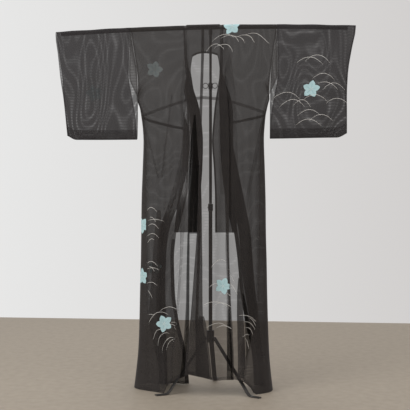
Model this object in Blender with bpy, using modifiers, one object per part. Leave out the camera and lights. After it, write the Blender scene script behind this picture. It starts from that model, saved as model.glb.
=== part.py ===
"""Thin summer kimono hung from a pole on a three-legged stand.

Metres, +Z up. The back of the garment faces -Y. Every cloth piece is a
loft of sections worked out from named sizes, thickened to a thin wall.
"""
import math

import bmesh
import bpy
import numpy as np
from mathutils import Matrix

# Garment sizes
CLOTH_WALL = 0.0012
SEAM_GAP = 0.0012
SHOULDER_HALF = 0.314
SLEEVE_BOTTOM = 1.071
CUFF_OPENING = 0.225
CORNER_RADIUS = 0.023
ARMHOLE_Z = 1.350
SIDE_SEAM_TOP = 1.245
COLLAR_END_Z = 0.670
OVERLAP_TOP = 1.330
OVERLAP_FIRST = 1.300
FOLD_DEPTH = 0.0085
FOLD_ROUND = 0.008
HEM_CLEARANCE = 0.0006

# Stand sizes
MAST_X = 0.032
MAST_Y = -0.0575
POLE_Z = 1.548
POLE_RADIUS = 0.009
POLE_ENDS = (-0.620, 0.610)
POLE_DROOP = 0.015
DROOP_REACH = 0.620
OVER_POLE = 0.0105
NECK_OVER_POLE = 0.0113
COLLAR_OVER_POLE = 0.0130

# Columns across each piece, by control of its section, and rows up the cloth
BACK_PLACES = (17.5, 18.5, 19.0, 19.5, 20.0, 20.6, 21.3, 22.0, 22.7, 23.4, 24.2, 25.0,
               25.5, 26.0, 27.5, 29.0, 29.5, 30.0, 30.9, 31.7, 32.4, 33.0, 33.5, 34.0,
               34.5, 35.0)
FRONT_PLACES = (0.0, 0.7, 1.3, 1.9, 2.5, 3.1, 3.7, 4.15, 4.4, 4.6, 4.8, 5.0, 5.2, 5.4,
                5.6, 5.8, 6.1, 7.0, 7.5, 8.0, 9.0, 9.5)
OVERLAP_PLACES = (9.5, 10.0, 11.0, 11.5, 12.0, 12.8, 13.4, 13.8, 14.2, 14.7, 15.3, 16.0)
COLLAR_PLACES = (0.0, 1.0, 2.0, 2.7, 3.6, 4.6, 5.8, 6.5, 7.2, 8.2, 9.0, 9.8, 10.5, 11.0)
NECK_COLUMN = 6
NECK_HALF = 0.0800
SLEEVE_STATIONS = 9

ROW_HEIGHTS = (0.0, 0.07, 0.16, 0.29, 0.42, 0.55, 0.67, 0.80, 0.94, 1.07, 1.17,
               1.21, SIDE_SEAM_TOP, OVERLAP_FIRST, OVERLAP_TOP, ARMHOLE_Z, 1.46, POLE_Z)
POLE_ANGLES = (30.0, 60.0, 88.5)

# Depth of the cloth before and behind the mast at each height:
# z, near sheet, near sheet at the side seam, side fold, far sheet, far wave
DEPTH_ROWS = (
    (0.000, -0.095, -0.068, 0.045, 0.090, 0.005),
    (0.130, -0.089, -0.052, 0.026, 0.080, 0.005),
    (0.300, -0.080, -0.042, 0.016, 0.066, 0.005),
    (0.500, -0.072, -0.038, 0.010, 0.056, 0.005),
    (0.670, -0.065, -0.036, 0.008, 0.048, 0.005),
    (0.850, -0.058, -0.033, 0.006, 0.042, 0.005),
    (1.070, -0.050, -0.028, 0.004, 0.034, 0.004),
    (1.245, -0.034, -0.017, 0.000, 0.026, 0.002),
    (1.350, -0.022, -0.014, 0.000, 0.018, 0.001),
    (1.460, -0.0145, -0.0125, 0.000, 0.013, 0.000),
    (1.548, -0.0105, -0.0105, 0.000, 0.0105, 0.000),
)

# Near sheet: z, side seam, pleat overlap, left pleat, right pleat, left
# edge of the centre fold, overlap of the centre fold
NEAR_ROWS = (
    (0.000, 0.180, 0.012, 0.128, 0.132, -0.066, 0.104),
    (0.130, 0.190, 0.010, 0.122, 0.128, -0.060, 0.092),
    (0.300, 0.228, 0.010, 0.104, 0.122, -0.043, 0.052),
    (0.500, 0.236, 0.010, 0.090, 0.116, -0.030, 0.036),
    (0.670, 0.240, 0.014, 0.082, 0.110, -0.019, 0.022),
    (0.850, 0.241, 0.024, 0.074, 0.106, -0.012, 0.011),
    (0.940, 0.2415, 0.026, 0.071, 0.104, -0.010, 0.005),
    (1.070, 0.243, 0.028, 0.068, 0.102, -0.008, 0.000),
    (1.245, 0.278, 0.018, 0.066, 0.098, -0.004, 0.000),
    (1.350, 0.318, 0.0045, 0.066, 0.094, -0.002, 0.000),
    (1.460, 0.3155, 0.000, 0.070, 0.092, 0.000, 0.000),
    (1.548, 0.314, 0.000, 0.080, 0.090, 0.000, 0.000),
)

# Far sheet, right and left: z, side fold, inner crease, outer crease,
# collar seam or front edge
FAR_RIGHT = (
    (0.000, 0.297, 0.235, 0.262, 0.212),
    (0.100, 0.286, 0.228, 0.256, 0.208),
    (0.190, 0.279, 0.215, 0.245, 0.196),
    (0.307, 0.275, 0.192, 0.234, 0.171),
    (0.384, 0.273, 0.178, 0.224, 0.158),
    (0.530, 0.271, 0.160, 0.210, 0.145),
    (0.670, 0.268, 0.150, 0.200, 0.128),
    (0.850, 0.266, 0.110, 0.165, 0.092),
    (1.070, 0.259, 0.080, 0.120, 0.075),
    (1.170, 0.2665, 0.0920, 0.0985, 0.0740),
    (1.210, 0.2740, 0.0960, 0.0985, 0.0735),
    (1.245, 0.2835, 0.100, 0.100, 0.073),
    (1.350, 0.287, 0.150, 0.150, 0.0755),
    (1.460, 0.303, 0.150, 0.150, 0.0790),
    (1.548, 0.314, 0.150, 0.150, NECK_HALF),
)
FAR_LEFT = (
    (0.000, 0.306, 0.165, 0.205, 0.074),
    (0.128, 0.288, 0.168, 0.212, 0.084),
    (0.273, 0.279, 0.170, 0.215, 0.116),
    (0.397, 0.275, 0.172, 0.215, 0.132),
    (0.504, 0.271, 0.170, 0.213, 0.137),
    (0.670, 0.268, 0.155, 0.200, 0.125),
    (0.850, 0.266, 0.095, 0.140, 0.080),
    (1.070, 0.258, 0.060, 0.094, 0.060),
    (1.170, 0.2660, 0.0800, 0.0865, 0.0630),
    (1.210, 0.2735, 0.0850, 0.0875, 0.0645),
    (1.245, 0.2835, 0.090, 0.090, 0.066),
    (1.350, 0.287, 0.150, 0.150, 0.071),
    (1.460, 0.303, 0.150, 0.150, 0.0775),
    (1.548, 0.314, 0.150, 0.150, NECK_HALF),
)

# Collar below the neck: seam height, outer crease, free edge, how far the
# free edge hangs below the seam
COLLAR_RIGHT = (
    (0.670, 0.1400, 0.045, 0.000),
    (0.750, 0.1400, 0.045, 0.000),
    (0.900, 0.1300, 0.043, 0.000),
    (1.070, 0.1250, 0.032, 0.004),
    (1.250, 0.1200, 0.048, 0.020),
    (1.326, 0.0980, 0.058, 0.040),
    (1.400, 0.0780, 0.066, 0.064),
    (1.435, 0.0710, 0.068, 0.078),
    (1.460, 0.0700, 0.069, 0.086),
)
COLLAR_LEFT = (
    (0.670, 0.1370, 0.026, 0.000),
    (0.750, 0.1300, 0.026, 0.000),
    (0.900, 0.1050, 0.014, 0.000),
    (1.070, 0.0950, 0.008, 0.004),
    (1.250, 0.0900, 0.026, 0.020),
    (1.326, 0.0830, 0.044, 0.040),
    (1.400, 0.0720, 0.052, 0.064),
    (1.435, 0.0650, 0.055, 0.078),
    (1.460, 0.0640, 0.056, 0.086),
)
COLLAR_HEIGHTS = (0.67, 0.80, 0.94, 1.07, 1.17, 1.21, SIDE_SEAM_TOP, OVERLAP_FIRST, OVERLAP_TOP,
                  ARMHOLE_Z, 1.40, 1.435, 1.46)

# Free edge of the collar behind the neck: x, z
NECK_EDGE = ((-0.0460, 1.430), (-0.0250, 1.440), (0.0, 1.443), (0.0400, 1.439),
             (0.0580, 1.432))
NECK_SEAM_HALF = 0.0690

# Lift of the near hem over the legs: x, lift
HEM_LIFT = ((-0.156, 0.0), (-0.143, 0.030), (-0.118, 0.055), (-0.090, 0.068),
            (-0.070, 0.070), (-0.052, 0.088), (0.0, 0.077), (0.070, 0.062),
            (0.130, 0.066), (0.160, 0.064), (0.182, 0.055), (0.207, 0.030),
            (0.222, 0.0))
LIFT_REACH = 0.40

# Armhole seam from its lower end up to the shoulder, near and far sheet
ARMHOLE_NEAR = (0.3180, 0.3140)
ARMHOLE_FAR = (0.2870, 0.3140)
# Open inner edge of a sleeve below the armhole: z, near, far
SLEEVE_INNER = ((1.071, 0.2860, 0.2840), (1.120, 0.2860, 0.2840),
                (1.245, 0.3020, 0.2850), (1.350, 0.3188, 0.2878))
# Cuff edge: z, left, right
SLEEVE_OUTER = ((1.071, 0.592, 0.607), (1.200, 0.604, 0.607),
                (1.335, 0.618, 0.609), (1.548, 0.643, 0.643))


def smoothstep(value):
    """Ease a value from 0 to 1, flat at both ends."""
    value = np.clip(value, 0.0, 1.0)
    return value * value * (3.0 - 2.0 * value)


def table_at(rows, height):
    """Read every column of a table at one height, with eased slopes."""
    data = np.asarray(rows, dtype=float)
    keys = data[:, 0]
    values = data[:, 1:]
    height = min(max(height, keys[0]), keys[-1])
    slopes = np.diff(values, axis=0) / np.diff(keys)[:, None]
    tangents = np.vstack([slopes[:1], 0.5 * (slopes[1:] + slopes[:-1]), slopes[-1:]])
    turning = np.zeros_like(tangents, dtype=bool)
    turning[1:-1] = slopes[1:] * slopes[:-1] <= 0.0
    tangents[turning] = 0.0
    index = int(np.clip(np.searchsorted(keys, height) - 1, 0, len(keys) - 2))
    span = keys[index + 1] - keys[index]
    t = (height - keys[index]) / span
    return ((2 * t ** 3 - 3 * t ** 2 + 1) * values[index]
            + (t ** 3 - 2 * t ** 2 + t) * span * tangents[index]
            + (3 * t ** 2 - 2 * t ** 3) * values[index + 1]
            + (t ** 3 - t ** 2) * span * tangents[index + 1])


def spline(controls, places):
    """Points of a cubic B-spline at given places, counted in controls."""
    points = np.asarray(controls, dtype=float)
    points = np.vstack([2 * points[0] - points[1], points, 2 * points[-1] - points[-2]])
    places = np.clip(np.asarray(places, dtype=float), 0.0, len(controls) - 1.0)
    index = np.minimum(places.astype(int), len(controls) - 2)
    t = (places - index)[:, None]
    weights = ((1 - t) ** 3 / 6, (3 * t ** 3 - 6 * t ** 2 + 4) / 6,
               (-3 * t ** 3 + 3 * t ** 2 + 3 * t + 1) / 6, t ** 3 / 6)
    return sum(weights[k] * points[index + k] for k in range(4))


def trimmed(points, start=0.0, stop=0.0):
    """Draw the first and last point of a row in by a seam gap."""
    points = points.copy()
    for end, beside, gap in ((0, 1, start), (-1, -2, stop)):
        way = points[beside] - points[end]
        points[end] += way * gap / max(np.linalg.norm(way), 1e-9)
    return points


def armhole(edges, height):
    """Distance out of the armhole seam at one height."""
    part = (height - ARMHOLE_Z) / (POLE_Z - ARMHOLE_Z)
    return edges[0] + (edges[1] - edges[0]) * min(max(part, 0.0), 1.0)


def pole_axis(x):
    """Height of the drooping pole's axis at x."""
    return POLE_Z - POLE_DROOP * (x / DROOP_REACH) ** 2


def place(path, side, height, near):
    """Turn section points into space points: droop, hem lift, side.

    path holds x outwards and depth; near is 1 on the near sheet."""
    x = side * path[:, 0]
    lift = np.interp(x, *zip(*HEM_LIFT))
    ease = max(0.0, 1.0 - height / LIFT_REACH) ** 2
    sink = POLE_DROOP * (x / DROOP_REACH) ** 2 * smoothstep((height - 0.9) / 0.5)
    z = height + HEM_CLEARANCE * (height == 0.0) + near * lift * ease - sink
    return np.column_stack([x, path[:, 1] + MAST_Y, z])


def over_pole(x, angle, radius=OVER_POLE):
    """A point over the pole: 0 degrees near side, 90 top, 180 far side."""
    turn = math.radians(angle)
    return (x, MAST_Y - radius * math.cos(turn), pole_axis(x) + radius * math.sin(turn))


def fold_controls(flat, crease_in, crease_out, depth, step):
    """Eight controls of one Z fold, lying on flat where there is no fold."""
    overlap = abs(crease_out - crease_in)
    amount = float(smoothstep(overlap / 0.006))
    tight = float(smoothstep((overlap - 0.005) / 0.009))
    back = min(0.4 * overlap, FOLD_ROUND) * tight * np.sign(crease_in - crease_out)
    folded = np.array([crease_in - back, crease_in, crease_in, crease_in - back,
                       crease_out + back, crease_out, crease_out, crease_out + back])
    # A fold that is only starting is a plain step in depth.
    levels = np.linspace(0.0, 2.0, 8)
    levels += (np.array([0.0, 0.0, 1.0, 1.0, 1.0, 1.0, 2.0, 2.0]) - levels) * tight
    levels *= step * amount
    x = flat + (folded - flat) * amount
    return [(x[k], depth + levels[k]) for k in range(8)], depth + 2 * step * amount


def near_half(side, height, middle):
    """Controls of one half of the near sheet, from its middle outwards."""
    depth, edge_depth = edge_depths(side, height)
    seam, pleat, left_pleat, right_pleat = table_at(NEAR_ROWS, height)[:4]
    if height >= ARMHOLE_Z:
        seam = armhole(ARMHOLE_NEAR, height)
    pleat_x = right_pleat if side > 0 else left_pleat
    before = 0.45 * pleat_x + 0.55 * middle
    slope = side_slope(height)
    end = np.array([seam, edge_depth])
    lean = end - 0.022 * np.array([math.cos(slope), math.sin(slope)])
    after = pleat_x + min(0.040, 0.45 * (lean[0] - pleat_x))
    flat = np.linspace(before, after, 10)[1:9]
    tucked, level = fold_controls(flat, pleat_x + 0.5 * pleat, pleat_x - 0.5 * pleat,
                                  depth, 0.6 * FOLD_DEPTH)
    between = (0.5 * (after + lean[0]), 0.75 * depth + 0.25 * edge_depth)
    return [(before, depth)] + tucked + [(after, level), between, tuple(lean), tuple(end)]


def edge_depths(side, height):
    """Depth of the near sheet, and of its side seam, at one height."""
    depth, edge_depth = table_at(DEPTH_ROWS, height)[:2]
    # On the right the near cloth stays before the front leg down to the hem.
    if side > 0:
        edge_depth -= 0.022 * float(smoothstep((0.20 - height) / 0.12))
    return depth, edge_depth


def side_slope(height):
    """Lean of the cloth towards the far side at the side seam."""
    return math.radians(28.0) * float(smoothstep((1.25 - height) / 0.15))


def near_row(side, height, places):
    """Section of one back panel from the centre seam to the side."""
    depth = table_at(DEPTH_ROWS, height)[0]
    seam, edge, overlap = table_at(NEAR_ROWS, height)[[0, 4, 5]]
    first, last = edge - 0.030, edge + overlap + 0.030
    # The left panel passes under the centre fold, the right one lies on top.
    flat = np.linspace(first, last, 10)[1:9]
    centre, level = fold_controls(flat, edge + overlap, edge, depth, -FOLD_DEPTH)
    left = [(-x, y) for x, y in near_half(-1, height, -first)][::-1]
    right = near_half(1, height, last)
    controls = left + [(first, depth)] + centre + [(last, level)] + right
    places = np.asarray(places)
    if side < 0:
        places = len(controls) - 1.0 - places
    path = spline(controls, places)
    ripple = 0.0035 * float(smoothstep((1.2 - height) / 0.5))
    x = path[:, 0]
    inside = smoothstep((seam - 0.02 - np.abs(x)) / 0.04)
    path[:, 1] += ripple * inside * np.sin(2 * math.pi * x / 0.082 + 0.8)
    return path * np.array([float(side), 1.0])


def overlap_width(height):
    """Width of the narrow front piece at one height."""
    wide = 0.135 * (OVERLAP_TOP - height) / (OVERLAP_TOP - COLLAR_END_Z)
    return min(max(wide, 0.0), 0.150)


def far_row(side, height, places):
    """Section of one front from the side seam round to its inner edge."""
    depths = table_at(DEPTH_ROWS, height)
    edge_depth = edge_depths(side, height)[1]
    fold_depth, depth, wave = depths[2:]
    seam = table_at(NEAR_ROWS, height)[0]
    rows = FAR_RIGHT if side > 0 else FAR_LEFT
    fold_x, crease_in, crease_out, inner = table_at(rows, height)
    crease_out = max(crease_in, crease_out)
    if height >= ARMHOLE_Z:
        fold_x = armhole(ARMHOLE_FAR, height)
    wrap = (ARMHOLE_Z + 0.01 - height) / (ARMHOLE_Z + 0.01 - SIDE_SEAM_TOP)
    wrap = min(max(wrap, 0.0), 1.0)
    slope = side_slope(height)
    way = np.array([math.cos(slope), math.sin(slope)])
    if height > SIDE_SEAM_TOP:
        seam = table_at(NEAR_ROWS, SIDE_SEAM_TOP)[0]
    gap = 0.0013 + 0.0015 * float(smoothstep((height - 1.17) / 0.07))
    start = np.array([seam, edge_depth]) + gap * way
    reach = max(fold_x - seam, 0.004)
    round_side = np.array([start, start + 0.35 * reach * way,
                           (fold_x, edge_depth + 0.55 * (fold_depth - edge_depth)),
                           (fold_x + 0.002, 0.5 * (fold_depth + depth)),
                           (fold_x - 0.022, depth)])
    open_side = np.array([(fold_x, depth), (fold_x - 0.012, depth), (fold_x - 0.028, depth),
                          (fold_x - 0.048, depth), (fold_x - 0.070, depth)])
    head = open_side + (round_side - open_side) * wrap
    # With no fold, the front spans to its seam and the narrow piece the rest.
    joint = inner + overlap_width(height)
    amount = float(smoothstep((crease_out - crease_in) / 0.006))
    before = 0.5 * (head[-1][0] + joint + (crease_in - joint) * amount)
    flat = np.concatenate([before + (joint - before) * np.array([0.3, 0.55, 0.75, 0.9]),
                           joint + (inner - joint) * np.array([0.1, 0.25, 0.4, 0.55])])
    tucked, level = fold_controls(flat, crease_in, crease_out, depth, FOLD_DEPTH)
    ends = np.array([joint + (inner - joint) * 0.7, joint + (inner - joint) * 0.85])
    tight = np.array([0.5 * (crease_out + inner), inner + 0.012])
    ends = ends + (tight - ends) * amount
    controls = list(head) + [(before, depth)] + tucked
    controls += [(ends[0], level), (ends[1], level), (inner, level)]
    path = spline(controls, places)
    x = path[:, 0]
    far = smoothstep((path[:, 1] - fold_depth) / max(depth - fold_depth, 0.01))
    inside = far * smoothstep((fold_x - 0.006 - x) / 0.04)
    path[:, 1] += wave * inside * far_wave(side, x, height)
    return path


def far_wave(side, x, height):
    """Soft upright waves of the far cloth, uneven from side to side."""
    drift = 0.35 * math.sin(3.1 * height + side)
    return (np.sin(2 * math.pi * x / (0.062 + 0.004 * side) + drift)
            + 0.25 * np.sin(2 * math.pi * x / 0.113 + 1.7))


def back_grid(side):
    """Rows of points of one back panel, hem to shoulder line."""
    level = np.concatenate([np.linspace(0.0, NECK_HALF, NECK_COLUMN + 1),
                            np.linspace(NECK_HALF, SHOULDER_HALF,
                                        len(BACK_PLACES) - NECK_COLUMN)[1:]])
    rows = []
    for height in ROW_HEIGHTS:
        points = near_row(side, height, BACK_PLACES)
        even = float(smoothstep((height - 1.37) / (POLE_Z - 1.37)))
        points[:, 0] += (level * points[-1, 0] / SHOULDER_HALF - points[:, 0]) * even
        points = trimmed(points, start=0.5 * SEAM_GAP)
        rows.append(place(points, side, height, 1.0))
    level[0] = 0.5 * SEAM_GAP
    for angle in POLE_ANGLES:
        rows.append(np.array([over_pole(side * x, angle) for x in level]))
    return np.array(rows)


def front_grid(side):
    """Rows of points of one front panel, hem to shoulder line."""
    rows = []
    for height in ROW_HEIGHTS:
        points = far_row(side, height, FRONT_PLACES)
        if height >= OVERLAP_TOP:
            across = far_row(side, height, (0.0, 16.0))[:, 0]
            points[:, 0] = points[0, 0] + (points[:, 0] - points[0, 0]) * (
                (across[1] - across[0]) / (points[-1, 0] - points[0, 0]))
        points = trimmed(points, stop=0.5 * SEAM_GAP)
        rows.append(place(points, side, height, front_near(points, height)))
    across = np.abs(rows[-1][:, 0])
    for angle in POLE_ANGLES:
        rows.append(np.array([over_pole(side * x, 180.0 - angle) for x in across]))
    return np.array(rows)


def front_near(points, height):
    """How far each point of a front belongs to the lifted near hem."""
    fold_depth = table_at(DEPTH_ROWS, height)[2]
    return smoothstep((fold_depth - 0.02 - points[:, 1]) / 0.03)


def overlap_grid(side):
    """Rows of points of one narrow front piece, hem to its pointed top."""
    rows = []
    for height in ROW_HEIGHTS:
        if height <= OVERLAP_FIRST:
            points = trimmed(far_row(side, height, OVERLAP_PLACES), start=0.5 * SEAM_GAP)
            rows.append(place(points, side, height, 0.0))
    return np.array(rows)


def collar_row(side, height):
    """One collar section below the neck, from its seam to the free edge."""
    seam_x, base = far_row(side, height, (16.0,))[0]
    wave = table_at(DEPTH_ROWS, height)[4]
    rows = COLLAR_RIGHT if side > 0 else COLLAR_LEFT
    crease, edge, hang = table_at(rows, height)
    base -= wave * float(far_wave(side, seam_x, height))
    seam_x = seam_x - SEAM_GAP
    turn = seam_x - 0.007
    overlap = max(crease - turn, 0.0)
    crease = turn + overlap
    amount = float(smoothstep(overlap / 0.006))
    tight = float(smoothstep((overlap - 0.005) / 0.009))
    back = min(FOLD_ROUND, 0.4 * overlap) * tight
    low, high = base + FOLD_DEPTH, base + 2 * FOLD_DEPTH
    folded = np.array([(seam_x, base, 0.0), (turn + 0.002, base, 0.0), (turn, base, 0.02),
                       (turn, low, 0.08), (turn + back, low, 0.15), (crease - back, low, 0.38),
                       (crease, low, 0.45), (crease, high, 0.52), (crease - back, high, 0.58),
                       (0.6 * crease + 0.4 * edge, high, 0.72),
                       (0.2 * crease + 0.8 * edge, high, 0.90), (edge, high, 1.0)])
    even = base + 2 * FOLD_DEPTH * np.clip((np.arange(12) - 1.0) / 7.0, 0.0, 1.0)
    folded[:, 1] = even + (folded[:, 1] - even) * tight
    part = np.linspace(0.0, 1.0, len(folded))
    flat = np.column_stack([seam_x + (edge - seam_x) * part, base + 0.010 * part, part])
    path = spline(flat + (folded - flat) * amount, COLLAR_PLACES)
    path[:, 1] += wave * far_wave(side, path[:, 0], height)
    row = place(path[:, :2], side, height, 0.0)
    row[:, 2] -= hang * path[:, 2]
    return row


def neck_row(x_seam, start_angle, edge_x, edge_z):
    """One collar section over the pole, from the neck seam to the free edge."""
    arc = []
    for angle in np.linspace(start_angle, 182.0, 25):
        part = (angle - start_angle) / (182.0 - start_angle + 1e-6)
        x = x_seam + (edge_x - x_seam) * 0.15 * part
        grow = min((angle - start_angle) / 50.0, 1.0)
        arc.append(over_pole(x, angle,
                             NECK_OVER_POLE + (COLLAR_OVER_POLE - NECK_OVER_POLE) * grow))
    foot = np.array([edge_x, MAST_Y + 0.0235, edge_z])
    arc = np.vstack([np.array(arc), foot])
    length = np.linalg.norm(np.diff(arc, axis=0), axis=1)
    along = np.append(0.0, np.cumsum(length))
    # Points crowd towards the seam, where the collar bends over the pole.
    part = np.linspace(0.0, 1.0, len(COLLAR_PLACES)) ** 1.6 * along[-1]
    return np.column_stack([np.interp(part, along, arc[:, k]) for k in range(3)])


def collar_grid():
    """All collar sections from the left end, round the neck, to the right."""
    edge = np.array(NECK_EDGE)

    def corner(side):
        """Sections round one neck corner, from the front up to the back."""
        limit = edge[-1] if side > 0 else edge[0]
        low = collar_row(side, COLLAR_HEIGHTS[-1])[-1]
        rows = []
        for part, angle in ((0.30, 178.0), (0.55, 130.0), (0.75, 80.0), (0.92, 35.0)):
            x_seam = side * (0.0795 - 0.0085 * part)
            away = 1.0 - part
            spot_x = limit[0] + (low[0] - limit[0]) * away ** 0.7
            spot_z = limit[1] + (low[2] - limit[1]) * away ** 1.3
            rows.append(neck_row(x_seam, angle, spot_x, spot_z))
        return rows

    rows = [collar_row(-1, height) for height in COLLAR_HEIGHTS]
    rows += corner(-1)
    for x in np.linspace(-NECK_SEAM_HALF, NECK_SEAM_HALF, 12):
        spot = x * (edge[-1, 0] if x > 0.0 else -edge[0, 0]) / NECK_SEAM_HALF
        rows.append(neck_row(x, 4.0, spot, float(np.interp(spot, edge[:, 0], edge[:, 1]))))
    rows += corner(1)[::-1]
    rows += [collar_row(1, height) for height in COLLAR_HEIGHTS[::-1]]
    return np.array(rows)


def sleeve_grid(side):
    """Closed rings of one sleeve, from the armhole out to the cuff."""
    outer_column = 0 if side < 0 else 1
    heights = (0.004, 0.03, 0.09, 0.174, ARMHOLE_Z - SLEEVE_BOTTOM, 1.46 - SLEEVE_BOTTOM)
    rings = []
    for station in np.linspace(0.0, 1.0, SLEEVE_STATIONS):
        ring = []
        for wall in (-1, 1):
            spots = []
            for height in heights:
                z = SLEEVE_BOTTOM + height
                spots.append(sleeve_point(side, wall, z, station, outer_column))
            ring.append(spots)
        near, far = ring
        top = []
        for angle in (0.0, 36.0, 72.0, 108.0, 144.0, 180.0):
            wall = -1 if angle < 90.0 else 1
            x = sleeve_x(side, wall, POLE_Z, station, outer_column)
            top.append(over_pole(side * x, angle, OVER_POLE + 0.0003))
        low = 0.5 * (np.array(near[0]) + np.array(far[0]))
        low[2] -= 0.004 * (1.0 - 0.5 * station)
        rings.append(near + top + far[::-1] + [tuple(low)])
    return np.array(rings)


def sleeve_x(side, wall, height, station, outer_column):
    """Distance out along a sleeve at one height and station."""
    inner = table_at(SLEEVE_INNER, height)[0 if wall < 0 else 1]
    if height >= ARMHOLE_Z:
        inner = armhole(ARMHOLE_NEAR if wall < 0 else ARMHOLE_FAR, height) + 0.0008
    outer = table_at(SLEEVE_OUTER, height)[outer_column]
    return inner + (outer - inner) * station


def sleeve_point(side, wall, height, station, outer_column):
    """One point of a sleeve wall below the pole."""
    x = sleeve_x(side, wall, height, station, outer_column)
    drop = (height - SLEEVE_BOTTOM) / (POLE_Z - SLEEVE_BOTTOM)
    full = OVER_POLE + 0.0003 + 0.007 * math.sin(math.pi * min(drop * 1.15, 1.0))
    full += 0.0030 * math.sin(9.0 * station + 2.0 * side + 1.5 * wall) * (1.0 - drop)
    foot = 0.0035 + 0.0065 * float(smoothstep(drop / 0.08))
    half = min(full, foot) if drop < 0.08 else full
    sewn = float(smoothstep((POLE_Z - CUFF_OPENING - height) / 0.05))
    pinch = float(smoothstep((station - 0.60) / 0.40)) * sewn
    half = half + (0.0013 - half) * pinch
    sway = 0.006 * math.sin(5.0 * station + side) * (1.0 - drop)
    outer = table_at(SLEEVE_OUTER, SLEEVE_BOTTOM)[outer_column]
    corner = max(0.0, x - (outer - CORNER_RADIUS))
    rise = CORNER_RADIUS - math.sqrt(max(CORNER_RADIUS ** 2 - corner ** 2, 0.0))
    rise = min(rise, 0.8 * CORNER_RADIUS) * max(0.0, 1.0 - 2.2 * drop)
    sink = POLE_DROOP * (x / DROOP_REACH) ** 2 * drop
    return (side * x, MAST_Y + wall * half + sway, height + rise - sink)


def remove_all():
    """Empty the scene."""
    for old in list(bpy.data.objects):
        bpy.data.objects.remove(old, do_unlink=True)


def new_collection(name):
    """Add one collection to the scene."""
    made = bpy.data.collections.new(name)
    bpy.context.scene.collection.children.link(made)
    return made


def material(name, colour, roughness, metallic=0.0):
    """A plain named material."""
    made = bpy.data.materials.new(name)
    made.use_nodes = True
    shader = made.node_tree.nodes["Principled BSDF"]
    shader.inputs["Base Color"].default_value = (*colour, 1.0)
    shader.inputs["Roughness"].default_value = roughness
    shader.inputs["Metallic"].default_value = metallic
    made.diffuse_color = (*colour, 1.0)
    return made


def finish(name, mesh, look, group, smooth=True):
    """Link a mesh as one named part."""
    part = bpy.data.objects.new(name, mesh)
    group.objects.link(part)
    mesh.materials.append(look)
    for face in mesh.polygons:
        face.use_smooth = smooth
    return part


def sheet_part(name, grid, look, group, closed=False, keep=None):
    """Thicken a grid of points into one closed sheet of cloth."""
    rows, columns = grid.shape[:2]
    vertices = [tuple(point) for point in grid.reshape(-1, 3)]
    faces = []
    for i in range(rows - 1):
        for j in range(columns if closed else columns - 1):
            if keep is not None and not keep(i, j):
                continue
            k = (j + 1) % columns
            faces.append((i * columns + j, i * columns + k,
                          (i + 1) * columns + k, (i + 1) * columns + j))
    mesh = bpy.data.meshes.new(name)
    mesh.from_pydata(vertices, [], faces)
    work = bmesh.new()
    work.from_mesh(mesh)
    loose = [v for v in work.verts if not v.link_faces]
    bmesh.ops.delete(work, geom=loose, context="VERTS")
    bmesh.ops.recalc_face_normals(work, faces=work.faces)
    work.to_mesh(mesh)
    work.free()
    part = finish(name, mesh, look, group)
    shell = part.modifiers.new("cloth wall", "SOLIDIFY")
    shell.thickness = CLOTH_WALL
    shell.offset = 0.0
    shell.use_even_offset = False
    shell.use_rim = True
    cut = part.modifiers.new("triangles", "TRIANGULATE")
    cut.quad_method = "BEAUTY"
    return part


def tube_mesh(work, centre, radius, bottom, top, sides=20):
    """Add a closed upright cylinder to a working mesh."""
    made = bmesh.ops.create_cone(work, cap_ends=True, cap_tris=False, segments=sides,
                                 radius1=radius, radius2=radius, depth=top - bottom)
    bmesh.ops.translate(work, verts=made["verts"],
                        vec=(centre[0], centre[1], 0.5 * (top + bottom)))


def upright(name, radius, bottom, top, look, group, sides=20):
    """A closed upright cylinder on the mast axis."""
    mesh = bpy.data.meshes.new(name)
    work = bmesh.new()
    tube_mesh(work, (MAST_X, MAST_Y), radius, bottom, top, sides)
    work.to_mesh(mesh)
    work.free()
    part = finish(name, mesh, look, group)
    edge = part.modifiers.new("soft edge", "BEVEL")
    edge.width = 0.0008
    edge.segments = 1
    edge.limit_method = "ANGLE"
    return part


def pole_part(look, group):
    """The drooping pole that carries the garment."""
    curve = bpy.data.curves.new("pole", "CURVE")
    curve.dimensions = "3D"
    curve.bevel_depth = POLE_RADIUS
    curve.bevel_resolution = 3
    curve.use_fill_caps = True
    line = curve.splines.new("POLY")
    places = np.linspace(POLE_ENDS[0], POLE_ENDS[1], 11)
    line.points.add(len(places) - 1)
    for point, x in zip(line.points, places):
        point.co = (x, MAST_Y, pole_axis(x), 1.0)
    part = bpy.data.objects.new("pole", curve)
    group.objects.link(part)
    curve.materials.append(look)
    weld = part.modifiers.new("weld", "WELD")
    weld.merge_threshold = 0.00005
    return part


def solid_cutter(name, group, build):
    """A hidden helper solid made by a building function."""
    mesh = bpy.data.meshes.new(name)
    work = bmesh.new()
    build(work)
    work.to_mesh(mesh)
    work.free()
    helper = bpy.data.objects.new(name, mesh)
    group.objects.link(helper)
    helper.hide_render = True
    helper.display_type = "WIRE"
    return helper


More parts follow.
